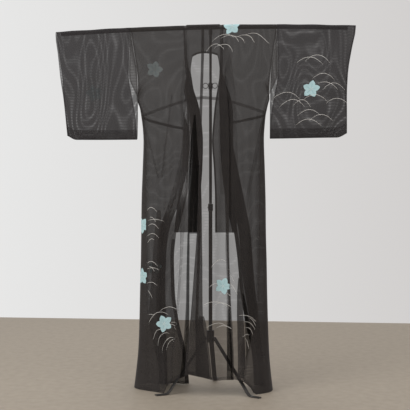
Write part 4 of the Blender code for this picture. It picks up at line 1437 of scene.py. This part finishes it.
@dataclass
class Painting:
    """Motifs laid on one cloth."""

    cloth: Cloth
    dyes: dict
    parts: list = field(default_factory=list)

    def lay(self, motifs: list, x: float, z: float, face: Face, side: int = 1,
            downward: bool = False) -> None:
        """Lay motifs round a place on the cloth.

        Args:
            motifs: What to lay.
            x: Place along the pole.
            z: Height.
            face: Which way the place looks.
            side: 1 where columns run to the right, -1 where they run left.
            downward: True where rows run down the cloth.
        """
        row, column = self.cloth.nearest(x, z, face)
        across = lengths(self.cloth.points[row])
        across = across - across[column]
        columns = np.arange(len(across))
        for motif in motifs:
            u, v = motif.outline[:, 0] * side, motif.outline[:, 1]
            if downward:
                v = -v
            where = np.interp(u, across, columns)
            rows = np.empty_like(where)
            for k, spot in enumerate(where):
                near = int(round(float(spot)))
                up = lengths(self.cloth.points[:, near])
                rows[k] = np.interp(v[k] + up[row], up, np.arange(len(up)))
            inside = (u > across[0]) & (u < across[-1])
            faces = [f for f in motif.faces if any(inside[k] for k in f)]
            for hand in (1.0, -1.0):
                spots = self.cloth.at(rows, where, hand * motif.lift)
                self.parts.append((spots, faces, motif.dye))

    def build(self) -> bpy.types.Object | None:
        """Join all that is laid into one piece.

        Returns:
            The piece, or nothing where nothing was laid.
        """
        if not self.parts:
            return None
        names = list(Dye)
        slots = [names.index(dye) for _, polygons, dye in self.parts for _ in polygons]
        made = mesh_object(self.cloth.name + "_motifs", *merged(self.parts),
                           [self.dyes[dye] for dye in names], slots=slots)
        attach(made, "root")
        return made


def edge_strip(cloth: Cloth, width: float, last: bool, lift: float, low_row: int = 0,
               high_row: int | None = None) -> tuple:
    """A strip along the first or last column, such as a seam allowance.

    Args:
        cloth: The cloth.
        width: Width of the strip.
        last: True for the last column.
        lift: Distance out of the cloth.
        low_row: Row where the strip starts.
        high_row: Row before which it ends.

    Returns:
        Its points, faces and cover.
    """
    wide = cloth.points.shape[1]
    rows, columns = [], []
    for i in range(low_row, high_row or len(cloth.points)):
        across = lengths(cloth.points[i])
        spots = np.linspace(0.0, width, STRIP_POINTS)
        if last:
            spots = across[-1] - spots
        columns.append(np.interp(spots, across, np.arange(wide)))
        rows.append(np.full(STRIP_POINTS, float(i)))
    return cloth.strip(np.array(rows), np.array(columns), lift)


def hem_strip(cloth: Cloth, width: float, lift: float, last: bool = False) -> tuple:
    """A strip along the first or last row, such as a turned-up hem.

    Args:
        cloth: The cloth.
        width: Width of the strip.
        lift: Distance out of the cloth.
        last: True for the last row.

    Returns:
        Its points, faces and cover.
    """
    count, wide = cloth.points.shape[:2]
    rows, columns = [], []
    for j in range(wide):
        up = lengths(cloth.points[:, j])
        spots = np.linspace(0.0, width, HEM_POINTS)
        if last:
            spots = up[-1] - spots
        rows.append(np.interp(spots, up, np.arange(count)))
        columns.append(np.full(HEM_POINTS, float(j)))
    return cloth.strip(np.array(rows).T, np.array(columns).T, lift)


def fold_band(cloth: Cloth, side: int, line: Table, lift: float, share: float) -> tuple:
    """A narrow band along a flat fold up the cloth: its second layer, and in near-black gauze the
    painted shade of a deep fold.

    Args:
        cloth: The cloth.
        side: -1 on the left, 1 on the right.
        line: Height and the two edges of the fold, from the bottom up.
        lift: Distance out of the cloth.
        share: Its cover as a share of the cloth's own.

    Returns:
        Its points, faces and cover.
    """
    data = np.asarray(line, dtype=float)
    heights = cloth.points[..., 2].mean(axis=1)
    rows, columns = [], []
    for i in np.flatnonzero((heights >= data[0, 0]) & (heights <= data[-1, 0])):
        out = np.maximum.accumulate(side * cloth.points[i, :, 0])
        out += np.arange(len(out)) * 1e-7
        ends = sorted(side * np.interp(heights[i], data[:, 0], data[:, k]) for k in (1, 2))
        spots = np.linspace(*ends, FOLD_POINTS)
        columns.append(np.interp(spots, out, np.arange(len(out))))
        rows.append(np.full(FOLD_POINTS, float(i)))
    points, faces, cover = cloth.strip(np.array(rows), np.array(columns), lift)
    return points, faces, cover * share


def tuck_strip(cloth: Cloth, line: Table, depth: float, lift: float, stop_row: int) -> tuple:
    """The doubled cloth of a tuck across a panel.

    Args:
        cloth: The cloth.
        line: Place along the pole and height of the tuck's lower edge.
        depth: Height of the tuck.
        lift: Distance out of the cloth.
        stop_row: Row above which the panel has no tuck.

    Returns:
        Its points, faces and cover.
    """
    spots_x, spots_z = zip(*line)
    rows, columns = [], []
    for j in range(cloth.points.shape[1]):
        column = cloth.points[:stop_row, j]
        tuck_row = int(np.argmin(np.abs(column[:, 2] - TUCK_Z)))
        foot = float(np.interp(column[tuck_row, 0], spots_x, spots_z))
        rows.append(np.interp(foot + np.linspace(0.0, depth, STRIP_POINTS), column[:, 2],
                              np.arange(stop_row)))
        columns.append(np.full(STRIP_POINTS, float(j)))
    return cloth.strip(np.array(rows).T, np.array(columns).T, lift)


@dataclass
class BackPanels:
    """The two back panels, from the hem up to the shoulder line."""

    look: bpy.types.Material
    turned: bpy.types.Material
    deep_tone_and_painted_shade: bpy.types.Material
    clear: float = 0.37
    hem: float = 0.014
    seam: float = 0.006
    side_seam: float = 0.007
    tuck_line: Table = ((-0.260, 1.166), (-0.233, 1.174), (-0.064, 1.231), (0.004, 1.238),
                        (0.097, 1.229), (0.253, 1.177), (0.275, 1.168))
    tuck: float = 0.013
    strip_lift: float = -0.0005
    painted_shade_lift: float = 0.0004
    crease_depth: float = 0.0016
    pleat_share: float = 0.22
    pleat_from: float = 0.064
    level_from: float = 1.37

    def cloth(self, side: int, name: str) -> Cloth:
        """Work out one panel.

        Args:
            side: -1 on the left, 1 on the right.
            name: Name of the piece.

        Returns:
            The panel.
        """
        level = np.concatenate([np.linspace(0.0, NECK_HALF, NECK_COLUMN + 1),
                                np.linspace(NECK_HALF, SHOULDER_HALF,
                                            len(BACK_PLACES) - NECK_COLUMN)[1:]])
        level = finer(level, COLUMN_PARTS)
        rows = []
        for height in ROW_HEIGHTS:
            points = near_row(side, height, finer(BACK_PLACES, COLUMN_PARTS))
            even = float(smoothstep((height - self.level_from) / (POLE_Z - self.level_from)))
            points[:, 0] += (level * points[-1, 0] / SHOULDER_HALF - points[:, 0]) * even
            rows.append(place(points, side, height, 1.0))
        for angle in POLE_ANGLES:
            rows.append(np.array([over_pole(side * x, angle) for x in level]))
        made = Cloth(name, between_rows(np.array(rows), ROW_PARTS), Face.NEAR, self.clear)
        made.crease(self.crease_depth, 1.3 + side)
        if side < 0:
            out = -made.points[..., 0]
            made.share = np.where(turned_under(out) & (out > self.pleat_from),
                                  self.pleat_share, 1.0)
        made.keep = lambda i, j: i < HANGING_ROWS or j >= NECK_COLUMN * COLUMN_PARTS
        return made

    def build(self) -> dict:
        """Build both panels with their hems, seams and tuck.

        Returns:
            The cloth of each panel.
        """
        made = {}
        for side, word in SIDES:
            node = "back_" + word
            cloth = self.cloth(side, node + "_panel")
            sheet = cloth.build(self.look, "body_gauze")
            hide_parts(node)
            parts = [edge_strip(cloth, self.seam, False, self.strip_lift),
                     edge_strip(cloth, self.seam, False, 2 * self.strip_lift),
                     tuck_strip(cloth, self.tuck_line, self.tuck, self.strip_lift, HANGING_ROWS)]
            strips = joined(node + "_seams", parts, self.look)
            parts = [fold_band(cloth, side, line, 3 * self.strip_lift, strength)
                     for strength, line in SOFT_FOLDS[side]]
            soft = joined(node + "_folds", parts, self.look)
            # Painted shade: near-black bands laid just outside the cloth along the deep folds,
            # where they lie in shadow.
            parts = [fold_band(cloth, side, line, self.painted_shade_lift, PAINTED_SHADE_COVER)
                     for line in PAINTED_SHADE_FOLDS[side]]
            deep_tone_and_painted_shade = joined(node + "_painted_shade_folds", parts, self.deep_tone_and_painted_shade)
            parts = [edge_strip(cloth, self.side_seam, True, self.strip_lift),
                     hem_strip(cloth, self.hem, self.strip_lift)]
            turned = joined(node + "_hem", parts, self.turned, TURNED_COVER)
            made[node] = cloth
            log.info("%s built", node)
        return made


@dataclass
class FrontPanels:
    """The two fronts and the two narrow front pieces sewn to them."""

    look: bpy.types.Material
    turned: bpy.types.Material
    clear: float = 0.155
    hem: float = 0.014
    seam: float = 0.007
    facing: float = 0.017
    shoulder_turn: float = 0.012
    neck_turn: float = 0.006
    crease_depth: float = 0.0011
    hidden: float = 0.30
    turned_back: float = 0.15
    thin_from: float = 0.72
    tuck: float = 0.012
    strip_lift: float = -0.0005
    left_tuck: Table = ((-0.275, 1.166), (-0.243, 1.150), (-0.157, 1.125), (-0.050, 1.098))
    right_tuck: Table = ((0.050, 1.118), (0.143, 1.139), (0.251, 1.162), (0.275, 1.168))

    def grid(self, side: int, places: Sequence[float], top: float, whole: bool) -> Grid:
        """Points of one front piece.

        Args:
            side: -1 on the left, 1 on the right.
            places: Columns, counted in controls of the section.
            top: Highest section.
            whole: True for a front, which runs up over the pole.

        Returns:
            Rows of points.
        """
        rows = []
        for height in ROW_HEIGHTS:
            if height > top:
                continue
            points = far_row(side, height, finer(places, COLUMN_PARTS))
            if whole and height >= OVERLAP_TOP:
                across = far_row(side, height, (0.0, 16.0))[:, 0]
                points[:, 0] = points[0, 0] + (points[:, 0] - points[0, 0]) * (
                    (across[1] - across[0]) / (points[-1, 0] - points[0, 0]))
            near = front_near(points, height) if whole else 0.0
            rows.append(place(points, side, height, near))
        if whole:
            across = np.abs(rows[-1][:, 0])
            for angle in POLE_ANGLES:
                rows.append(np.array([over_pole(side * x, 180.0 - angle) for x in across]))
        return between_rows(np.array(rows), ROW_PARTS)

    def left_share(self, cloth: Cloth, whole: bool) -> Grid:
        """Thin the left front's cover where layers lie behind each other.

        Args:
            cloth: The front or the narrow front.
            whole: True for the front.

        Returns:
            Share of the cloth's own cover at each point.
        """
        x, z = cloth.points[..., 0], cloth.points[..., 2]
        high = smoothstep((z - self.thin_from) / 0.06)
        if not whole:
            return 1.0 - (1.0 - self.hidden) * high
        return 1.0 - (1.0 - self.turned_back) * high * (turned_under(x) & (x > -0.16))

    def build(self) -> dict:
        """Build fronts and narrow fronts with hems, seams and tucks.

        Returns:
            The cloth of each piece.
        """
        made = {}
        armhole_row = ROW_HEIGHTS.index(ARMHOLE_Z) * ROW_PARTS
        collar_end_row = ROW_HEIGHTS.index(COLLAR_END_Z) * ROW_PARTS
        for side, word in SIDES:
            line = self.left_tuck if side < 0 else self.right_tuck
            for node, places, top, flat, area in (
                    ("front_" + word, FRONT_PLACES, POLE_Z, (0.30, 1.58), None),
                    ("overlap_" + word, OVERLAP_PLACES, OVERLAP_FIRST, (0.14, 1.33), 0.142)):
                whole = area is None
                cloth = Cloth(node + "_panel", self.grid(side, places, top, whole), Face.FAR,
                              self.clear)
                if whole:
                    cloth.crease(self.crease_depth, 2.7 + side)
                if side < 0:
                    cloth.share = self.left_share(cloth, whole)
                sheet = cloth.build(self.look, "front_gauze")
                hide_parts(node)
                parts = [tuck_strip(cloth, line, self.tuck, self.strip_lift,
                                    min(len(cloth.points), HANGING_ROWS))]
                if whole:
                    shoulder = edge_strip(cloth, self.shoulder_turn, True, self.strip_lift,
                                          armhole_row)
                    shoulder[0][:, 0] -= side * self.neck_turn
                    parts.append(shoulder)
                else:
                    parts.append(edge_strip(cloth, self.facing, True, self.strip_lift, 0,
                                            collar_end_row if side < 0 else None))
                strips = joined(node + "_seams", parts, self.look)
                parts = [edge_strip(cloth, self.seam, False, self.strip_lift),
                         hem_strip(cloth, self.hem, self.strip_lift)]
                turned = joined(node + "_hem", parts, self.turned, TURNED_COVER)
                made[node] = cloth
                log.info("%s built", node)
        return made


@dataclass
class Collar:
    """The collar strip: down both fronts and over the pole behind the neck."""

    look: bpy.types.Material
    deep_tone_and_painted_shade: bpy.types.Material
    clear: float = 0.165
    edge_fold: float = 0.008
    left_double: float = 0.046
    seam_double: float = 0.045
    thin_left: float = 0.70
    thin_left_from: float = 0.78
    thin_right: float = 0.50
    row_parts: int = 3
    strip_lift: float = -0.0004
    layer: float = -0.0005
    corner_out: float = 0.0795
    corner_drawn_in: float = 0.0085
    corner_steps: Table = ((0.30, 178.0), (0.55, 130.0), (0.75, 80.0), (0.92, 35.0))

    def corner(self, side: int, count: int) -> list:
        """Sections round one neck corner, from the front up to the back.

        Args:
            side: -1 on the left, 1 on the right.
            count: Points of a section.

        Returns:
            The sections.
        """
        edge = np.array(NECK_EDGE)
        limit = edge[-1] if side > 0 else edge[0]
        low = collar_row(side, COLLAR_HEIGHTS[-1], COLLAR_PLACES)[-1]
        rows = []
        for part, angle in self.corner_steps:
            away = 1.0 - part
            rows.append(neck_row(side * (self.corner_out - self.corner_drawn_in * part), angle,
                                 limit[0] + (low[0] - limit[0]) * away ** 0.7,
                                 limit[1] + (low[2] - limit[1]) * away ** 1.3, count))
        return rows

    def share(self, cloth: Cloth, left_end: int, right_start: int) -> Grid:
        """Thin the collar's cover where it lies doubled behind the fronts.

        Args:
            cloth: The collar.
            left_end: Row where its left half ends, below the neck.
            right_start: Row where its right half starts, below the neck.

        Returns:
            Share of the cloth's own cover at each point.
        """
        x, z = cloth.points[..., 0], cloth.points[..., 2]
        made = np.ones(x.shape)
        inward = (x.max(axis=1, keepdims=True) - x)[:left_end]
        made[:left_end] = 1.0 - (self.thin_left * smoothstep((inward - self.left_double) / 0.010)
                                 * smoothstep((z[:left_end] - self.thin_left_from) / 0.08))
        inward = (x - x.min(axis=1, keepdims=True))[right_start:]
        made[right_start:] = 1.0 - self.thin_right * smoothstep((inward - 0.095) / 0.02)
        return made

    def build(self) -> dict:
        """Build the collar with its folded edge.

        Returns:
            The cloth of the collar.
        """
        edge = np.array(NECK_EDGE)
        places = finer(COLLAR_PLACES, COLUMN_PARTS)
        rows = [collar_row(-1, height, places) for height in COLLAR_HEIGHTS]
        rows += self.corner(-1, len(places))
        for x in np.linspace(-NECK_SEAM_HALF, NECK_SEAM_HALF, 12):
            spot = x * (edge[-1, 0] if x > 0.0 else -edge[0, 0]) / NECK_SEAM_HALF
            rows.append(neck_row(x, 4.0, spot,
                                 float(np.interp(spot, edge[:, 0], edge[:, 1])), len(places)))
        rows += self.corner(1, len(places))[::-1]
        rows += [collar_row(1, height, places) for height in COLLAR_HEIGHTS[::-1]]
        cloth = Cloth("collar_strip", between_rows(np.array(rows), self.row_parts), Face.FAR,
                      self.clear)
        count = len(cloth.points)
        left_end = len(COLLAR_HEIGHTS) * self.row_parts - 2
        right_start = count - left_end
        cloth.share = self.share(cloth, left_end, right_start)
        sheet = cloth.build(self.look, "collar_gauze")
        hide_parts("collar")
        second, third = self.strip_lift + self.layer, self.strip_lift + 2 * self.layer
        parts = [edge_strip(cloth, self.edge_fold, True, self.strip_lift),
                 edge_strip(cloth, self.left_double, True, second, 6, left_end - 4),
                 edge_strip(cloth, self.seam_double, False, second, right_start + 4, count - 3)]
        strips = joined("collar_seams", parts, self.look)
        # Painted shade: a near-black band along the left collar's free edge, where its fold lies in
        # shadow.
        parts = [edge_strip(cloth, self.left_double, True, third, 0, left_end - 9)]
        deep_tone_and_painted_shade = joined("collar_painted_shade_fold", parts, self.deep_tone_and_painted_shade)
        log.info("collar built")
        return {"collar": cloth}


@dataclass
class Sleeves:
    """The two wide sleeves, each one strip folded over the pole."""

    look: bpy.types.Material
    turned: bpy.types.Material
    clear: float = 0.225
    bottom_turn: float = 0.044
    cuff_turn: float = 0.006
    strip_lift: float = -0.0004
    crease_depth: float = 0.0012
    top_angles: tuple = (0.0, 36.0, 72.0, 108.0, 144.0, 180.0)
    wall_heights: tuple = (0.004, 0.03, 0.09, 0.174, ARMHOLE_Z - SLEEVE_BOTTOM,
                           1.46 - SLEEVE_BOTTOM)

    def cloth(self, side: int, name: str) -> Cloth:
        """Work out one sleeve: rows up the near wall and down the far one.

        Args:
            side: -1 on the left, 1 on the right.
            name: Name of the piece.

        Returns:
            The sleeve.
        """
        rings = []
        for station in np.linspace(0.0, 1.0, SLEEVE_STATIONS):
            near, far = ([sleeve_point(side, wall, SLEEVE_BOTTOM + height, station)
                          for height in self.wall_heights] for wall in (-1, 1))
            top = []
            for angle in self.top_angles:
                x = sleeve_x(side, -1 if angle < 90.0 else 1, POLE_Z, station)
                top.append(over_pole(side * x, angle, SLEEVE_OVER_POLE))
            low = 0.5 * (np.array(near[0]) + np.array(far[0]))
            low[2] -= 0.004 * (1.0 - 0.5 * station)
            rings.append([tuple(low)] + near + top + far[::-1] + [tuple(low)])
        points = between_columns(np.array(rings).transpose(1, 0, 2), STATION_PARTS)
        made = Cloth(name, between_rows(points, RING_PARTS), Face.ROUND, self.clear)
        made.crease(self.crease_depth, 4.0 + side)
        return made

    def build(self) -> dict:
        """Build both sleeves with their turned edges.

        Returns:
            The cloth of each sleeve.
        """
        made = {}
        for side, word in SIDES:
            node = "sleeve_" + word
            cloth = self.cloth(side, node + "_strip")
            sheet = cloth.build(self.look, "sleeve_gauze")
            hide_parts(node)
            parts = [hem_strip(cloth, self.bottom_turn, self.strip_lift),
                     hem_strip(cloth, self.bottom_turn, self.strip_lift, last=True),
                     edge_strip(cloth, self.cuff_turn, True, self.strip_lift),
                     edge_strip(cloth, self.cuff_turn, False, self.strip_lift)]
            strips = joined(node + "_hem", parts, self.turned, TURNED_COVER)
            made[node] = cloth
            log.info("%s built", node)
        return made


@dataclass
class Paintings:
    """Bellflowers and grass dyed on the cloth, unevenly placed."""

    cloths: dict
    dyes: dict

    def build(self) -> None:
        """Lay every motif on its cloth."""
        laid = {name: Painting(cloth, self.dyes) for name, cloth in self.cloths.items()}
        near, far = Face.NEAR, Face.FAR
        for name, motifs, x, z, face, side, down in (
                ("sleeve_right", bellflower(0.037, 84.0), 0.461, 1.272, near, 1, False),
                ("sleeve_right", grass(GRASS_WIDE), 0.470, 1.262, near, 1, False),
                ("back_right", bellflower(0.037, 100.0), 0.125, 1.541, near, 1, False),
                ("back_right", grass(GRASS_SHOULDER), 0.130, 1.520, near, 1, False),
                ("back_left", bellflower(0.037, 40.0), -0.160, 0.295, near, -1, False),
                ("back_left", grass(GRASS_HEM), -0.160, 0.310, near, -1, False),
                ("back_right", bellflower(0.036, 66.0), 0.094, 0.468, near, 1, False),
                ("back_right", grass(GRASS_LOW), 0.094, 0.470, near, 1, False),
                ("back_right", grass(GRASS_RIGHT), 0.192, 0.285, near, 1, False),
                ("front_left", bellflower(0.036, 20.0), -0.262, 0.472, near, -1, False),
                ("front_left", bellflower(0.036, 50.0), -0.262, 0.690, near, -1, False),
                ("back_left", grass(GRASS_EDGE_HIGH), -0.238, 0.700, near, -1, False),
                ("back_left", grass(GRASS_EDGE_LOW), -0.238, 0.500, near, -1, False),
                # Painted light: these flowers behind a layer get the brightened blue.
                ("front_left", with_painted_light(bellflower(0.037, 70.0)), -0.212, 1.367, far, 1, False),
                ("front_left", bellflower(0.032, 10.0), -0.216, 0.528, far, 1, False),
                ("sleeve_left", with_painted_light(bellflower(0.037, 30.0)), -0.484, 1.291, far, -1, True),
                ("sleeve_left", grass(GRASS_FAINT, 0.0011), -0.470, 1.270, far, -1, True)):
            laid[name].lay(motifs, x, z, face, side, down)
        for painting in laid.values():
            painting.build()
        log.info("flowers and grass laid")


@dataclass
class Stand:
    """The steel stand: its solids keep their shape and get their paint."""

    look: bpy.types.Material
    nodes: tuple = ("pole", "pole_holder", "mast_upper", "ring_clamp", "mast_middle",
                    "wing_clamp", "mast_lower", "hub", "leg_left", "leg_right", "leg_rear")

    def dress(self) -> None:
        """Give every steel node its finish."""
        for name in self.nodes:
            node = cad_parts[name]
            if not node.data.materials:
                node.data.materials.append(None)
            for slot in node.material_slots:
                slot.link = "OBJECT"
                slot.material = self.look
        log.info("stand painted")


@dataclass
class Studio:
    """Pale floor, pale air all round, two soft lamps and the camera."""

    wall_behind: float = 2.10
    floor_half: float = 6.0
    floor_before: float = 7.0
    floor_z: float = -0.001
    bright_air: tuple = (0.80, 0.80, 0.795, 1.0)
    dim_air: tuple = (0.61, 0.59, 0.58, 1.0)
    bright_until: float = 0.15
    dim_from: float = 0.75
    lamps: tuple = (("soft_lamp_left", (-2.6, -2.9, 2.9), 55.0, 2.2),
                    ("soft_lamp_top", (0.6, -0.6, 4.0), 26.0, 2.6))
    lamp_aim: tuple = (0.0, 0.0, 0.8)
    distance: float = 3.48
    height: float = 0.79
    turn: float = 6.0
    aside: float = 0.0235
    lens: float = 71.6

    def floor(self) -> None:
        """Lay the floor up to the wall's foot."""
        far = MAST_Y + self.wall_behind
        points = np.array([(side * self.floor_half, y, self.floor_z) for side, y in (
            (-1, -self.floor_before), (1, -self.floor_before), (1, far), (-1, far))])
        made = mesh_object("studio_floor", points, [(0, 1, 2, 3)], [Concrete().material()])

    def light(self) -> None:
        """Pale light all round, brighter on the left, and the soft lamps."""
        world = bpy.data.worlds.new("studio_air")
        bpy.context.scene.world = world
        world.use_nodes = True
        nodes, links = world.node_tree.nodes, world.node_tree.links
        spot = nodes.new("ShaderNodeTexCoord")
        apart = nodes.new("ShaderNodeSeparateXYZ")
        ramp = nodes.new("ShaderNodeValToRGB")
        links.new(spot.outputs["Generated"], apart.inputs["Vector"])
        shift = nodes.new("ShaderNodeMath")
        shift.operation = "MULTIPLY_ADD"
        shift.inputs[1].default_value = 1.0
        shift.inputs[2].default_value = 0.5
        links.new(apart.outputs["X"], shift.inputs[0])
        links.new(shift.outputs[0], ramp.inputs["Fac"])
        ramp.color_ramp.elements[0].position = self.bright_until
        ramp.color_ramp.elements[0].color = self.bright_air
        ramp.color_ramp.elements[1].position = self.dim_from
        ramp.color_ramp.elements[1].color = self.dim_air
        links.new(ramp.outputs["Color"], nodes["Background"].inputs["Color"])
        for name, place_at, power, size in self.lamps:
            lamp = bpy.data.lights.new(name, "AREA")
            lamp.energy = power
            lamp.size = size
            holder = bpy.data.objects.new(name, lamp)
            bpy.context.scene.collection.objects.link(holder)
            holder.location = place_at
            aim = Vector(self.lamp_aim) - Vector(place_at)
            holder.rotation_euler = aim.to_track_quat("-Z", "Y").to_euler()

    def camera(self) -> None:
        """Stand the camera where the photograph was taken from."""
        turn = math.radians(self.turn)
        made = bpy.data.cameras.new("camera")
        made.sensor_width = 36.0
        made.lens = self.lens
        made.clip_start = 0.05
        holder = bpy.data.objects.new("camera", made)
        bpy.context.scene.collection.objects.link(holder)
        holder.location = (MAST_X + self.distance * math.sin(turn) - self.aside * math.cos(turn),
                           MAST_Y - self.distance * math.cos(turn)
                           - self.aside * math.sin(turn), self.height)
        holder.rotation_euler = (math.radians(90.0), 0.0, turn)
        bpy.context.scene.camera = holder

    def build(self) -> None:
        """Set up the whole studio."""
        self.floor()
        self.light()
        self.camera()
        scene = bpy.context.scene
        scene.view_settings.view_transform = "Standard"
        scene.cycles.transparent_max_bounces = 40
        log.info("studio ready")


def main() -> None:
    """Build every sub-assembly in order."""
    logging.basicConfig(level=logging.INFO, format="%(name)s: %(message)s")
    back_gauze = Gauze("back_gauze", 0.07, 95.0).material()
    front_gauze = Gauze("front_gauze", 0.07, 105.0).material()
    collar_gauze = Gauze("collar_gauze", 0.04, 70.0).material()
    sleeve_gauze = Gauze("sleeve_gauze", 0.26, 120.0, (0.0325, 0.0290, 0.0305),
                         moire_shape=(5.2, 5.2, 2.3)).material()
    turned_gauze = Gauze("turned_gauze", 0.010, 70.0).material()
    # Painted shade: near-black gauze without sheen, for the bands in shadowed folds.
    painted_shade_gauze = Gauze("painted_shade_gauze", 0.004, 70.0, (0.0040, 0.0032, 0.0026), gloss=0.05,
                       sheen=0.0).material()
    dyes = {Dye.PALE_BLUE: DyedSilk("pale_blue_dye", (0.52, 0.72, 0.75),
                                    (0.43, 0.62, 0.65)).material(),
            # Painted light: the pale blue brightened for flowers shaded by the cloth in front.
            Dye.FADED_BLUE: DyedSilk("painted_light_blue_dye", (0.84, 0.95, 0.97),
                                     (0.72, 0.86, 0.88)).material(),
            Dye.DEEP_TEAL: DyedSilk("teal_dye", (0.28, 0.47, 0.50), (0.20, 0.37, 0.40)).material(),
            Dye.WHITE: DyedSilk("white_dye", (0.88, 0.86, 0.82), (0.72, 0.70, 0.67)).material()}
    cloths = BackPanels(back_gauze, turned_gauze, painted_shade_gauze).build()
    cloths |= FrontPanels(front_gauze, turned_gauze).build()
    cloths |= Collar(collar_gauze, painted_shade_gauze).build()
    cloths |= Sleeves(sleeve_gauze, turned_gauze).build()
    Paintings(cloths, dyes).build()
    Stand(BlackSteel().material()).dress()
    Studio().build()


if __name__ == "__main__":
    main()
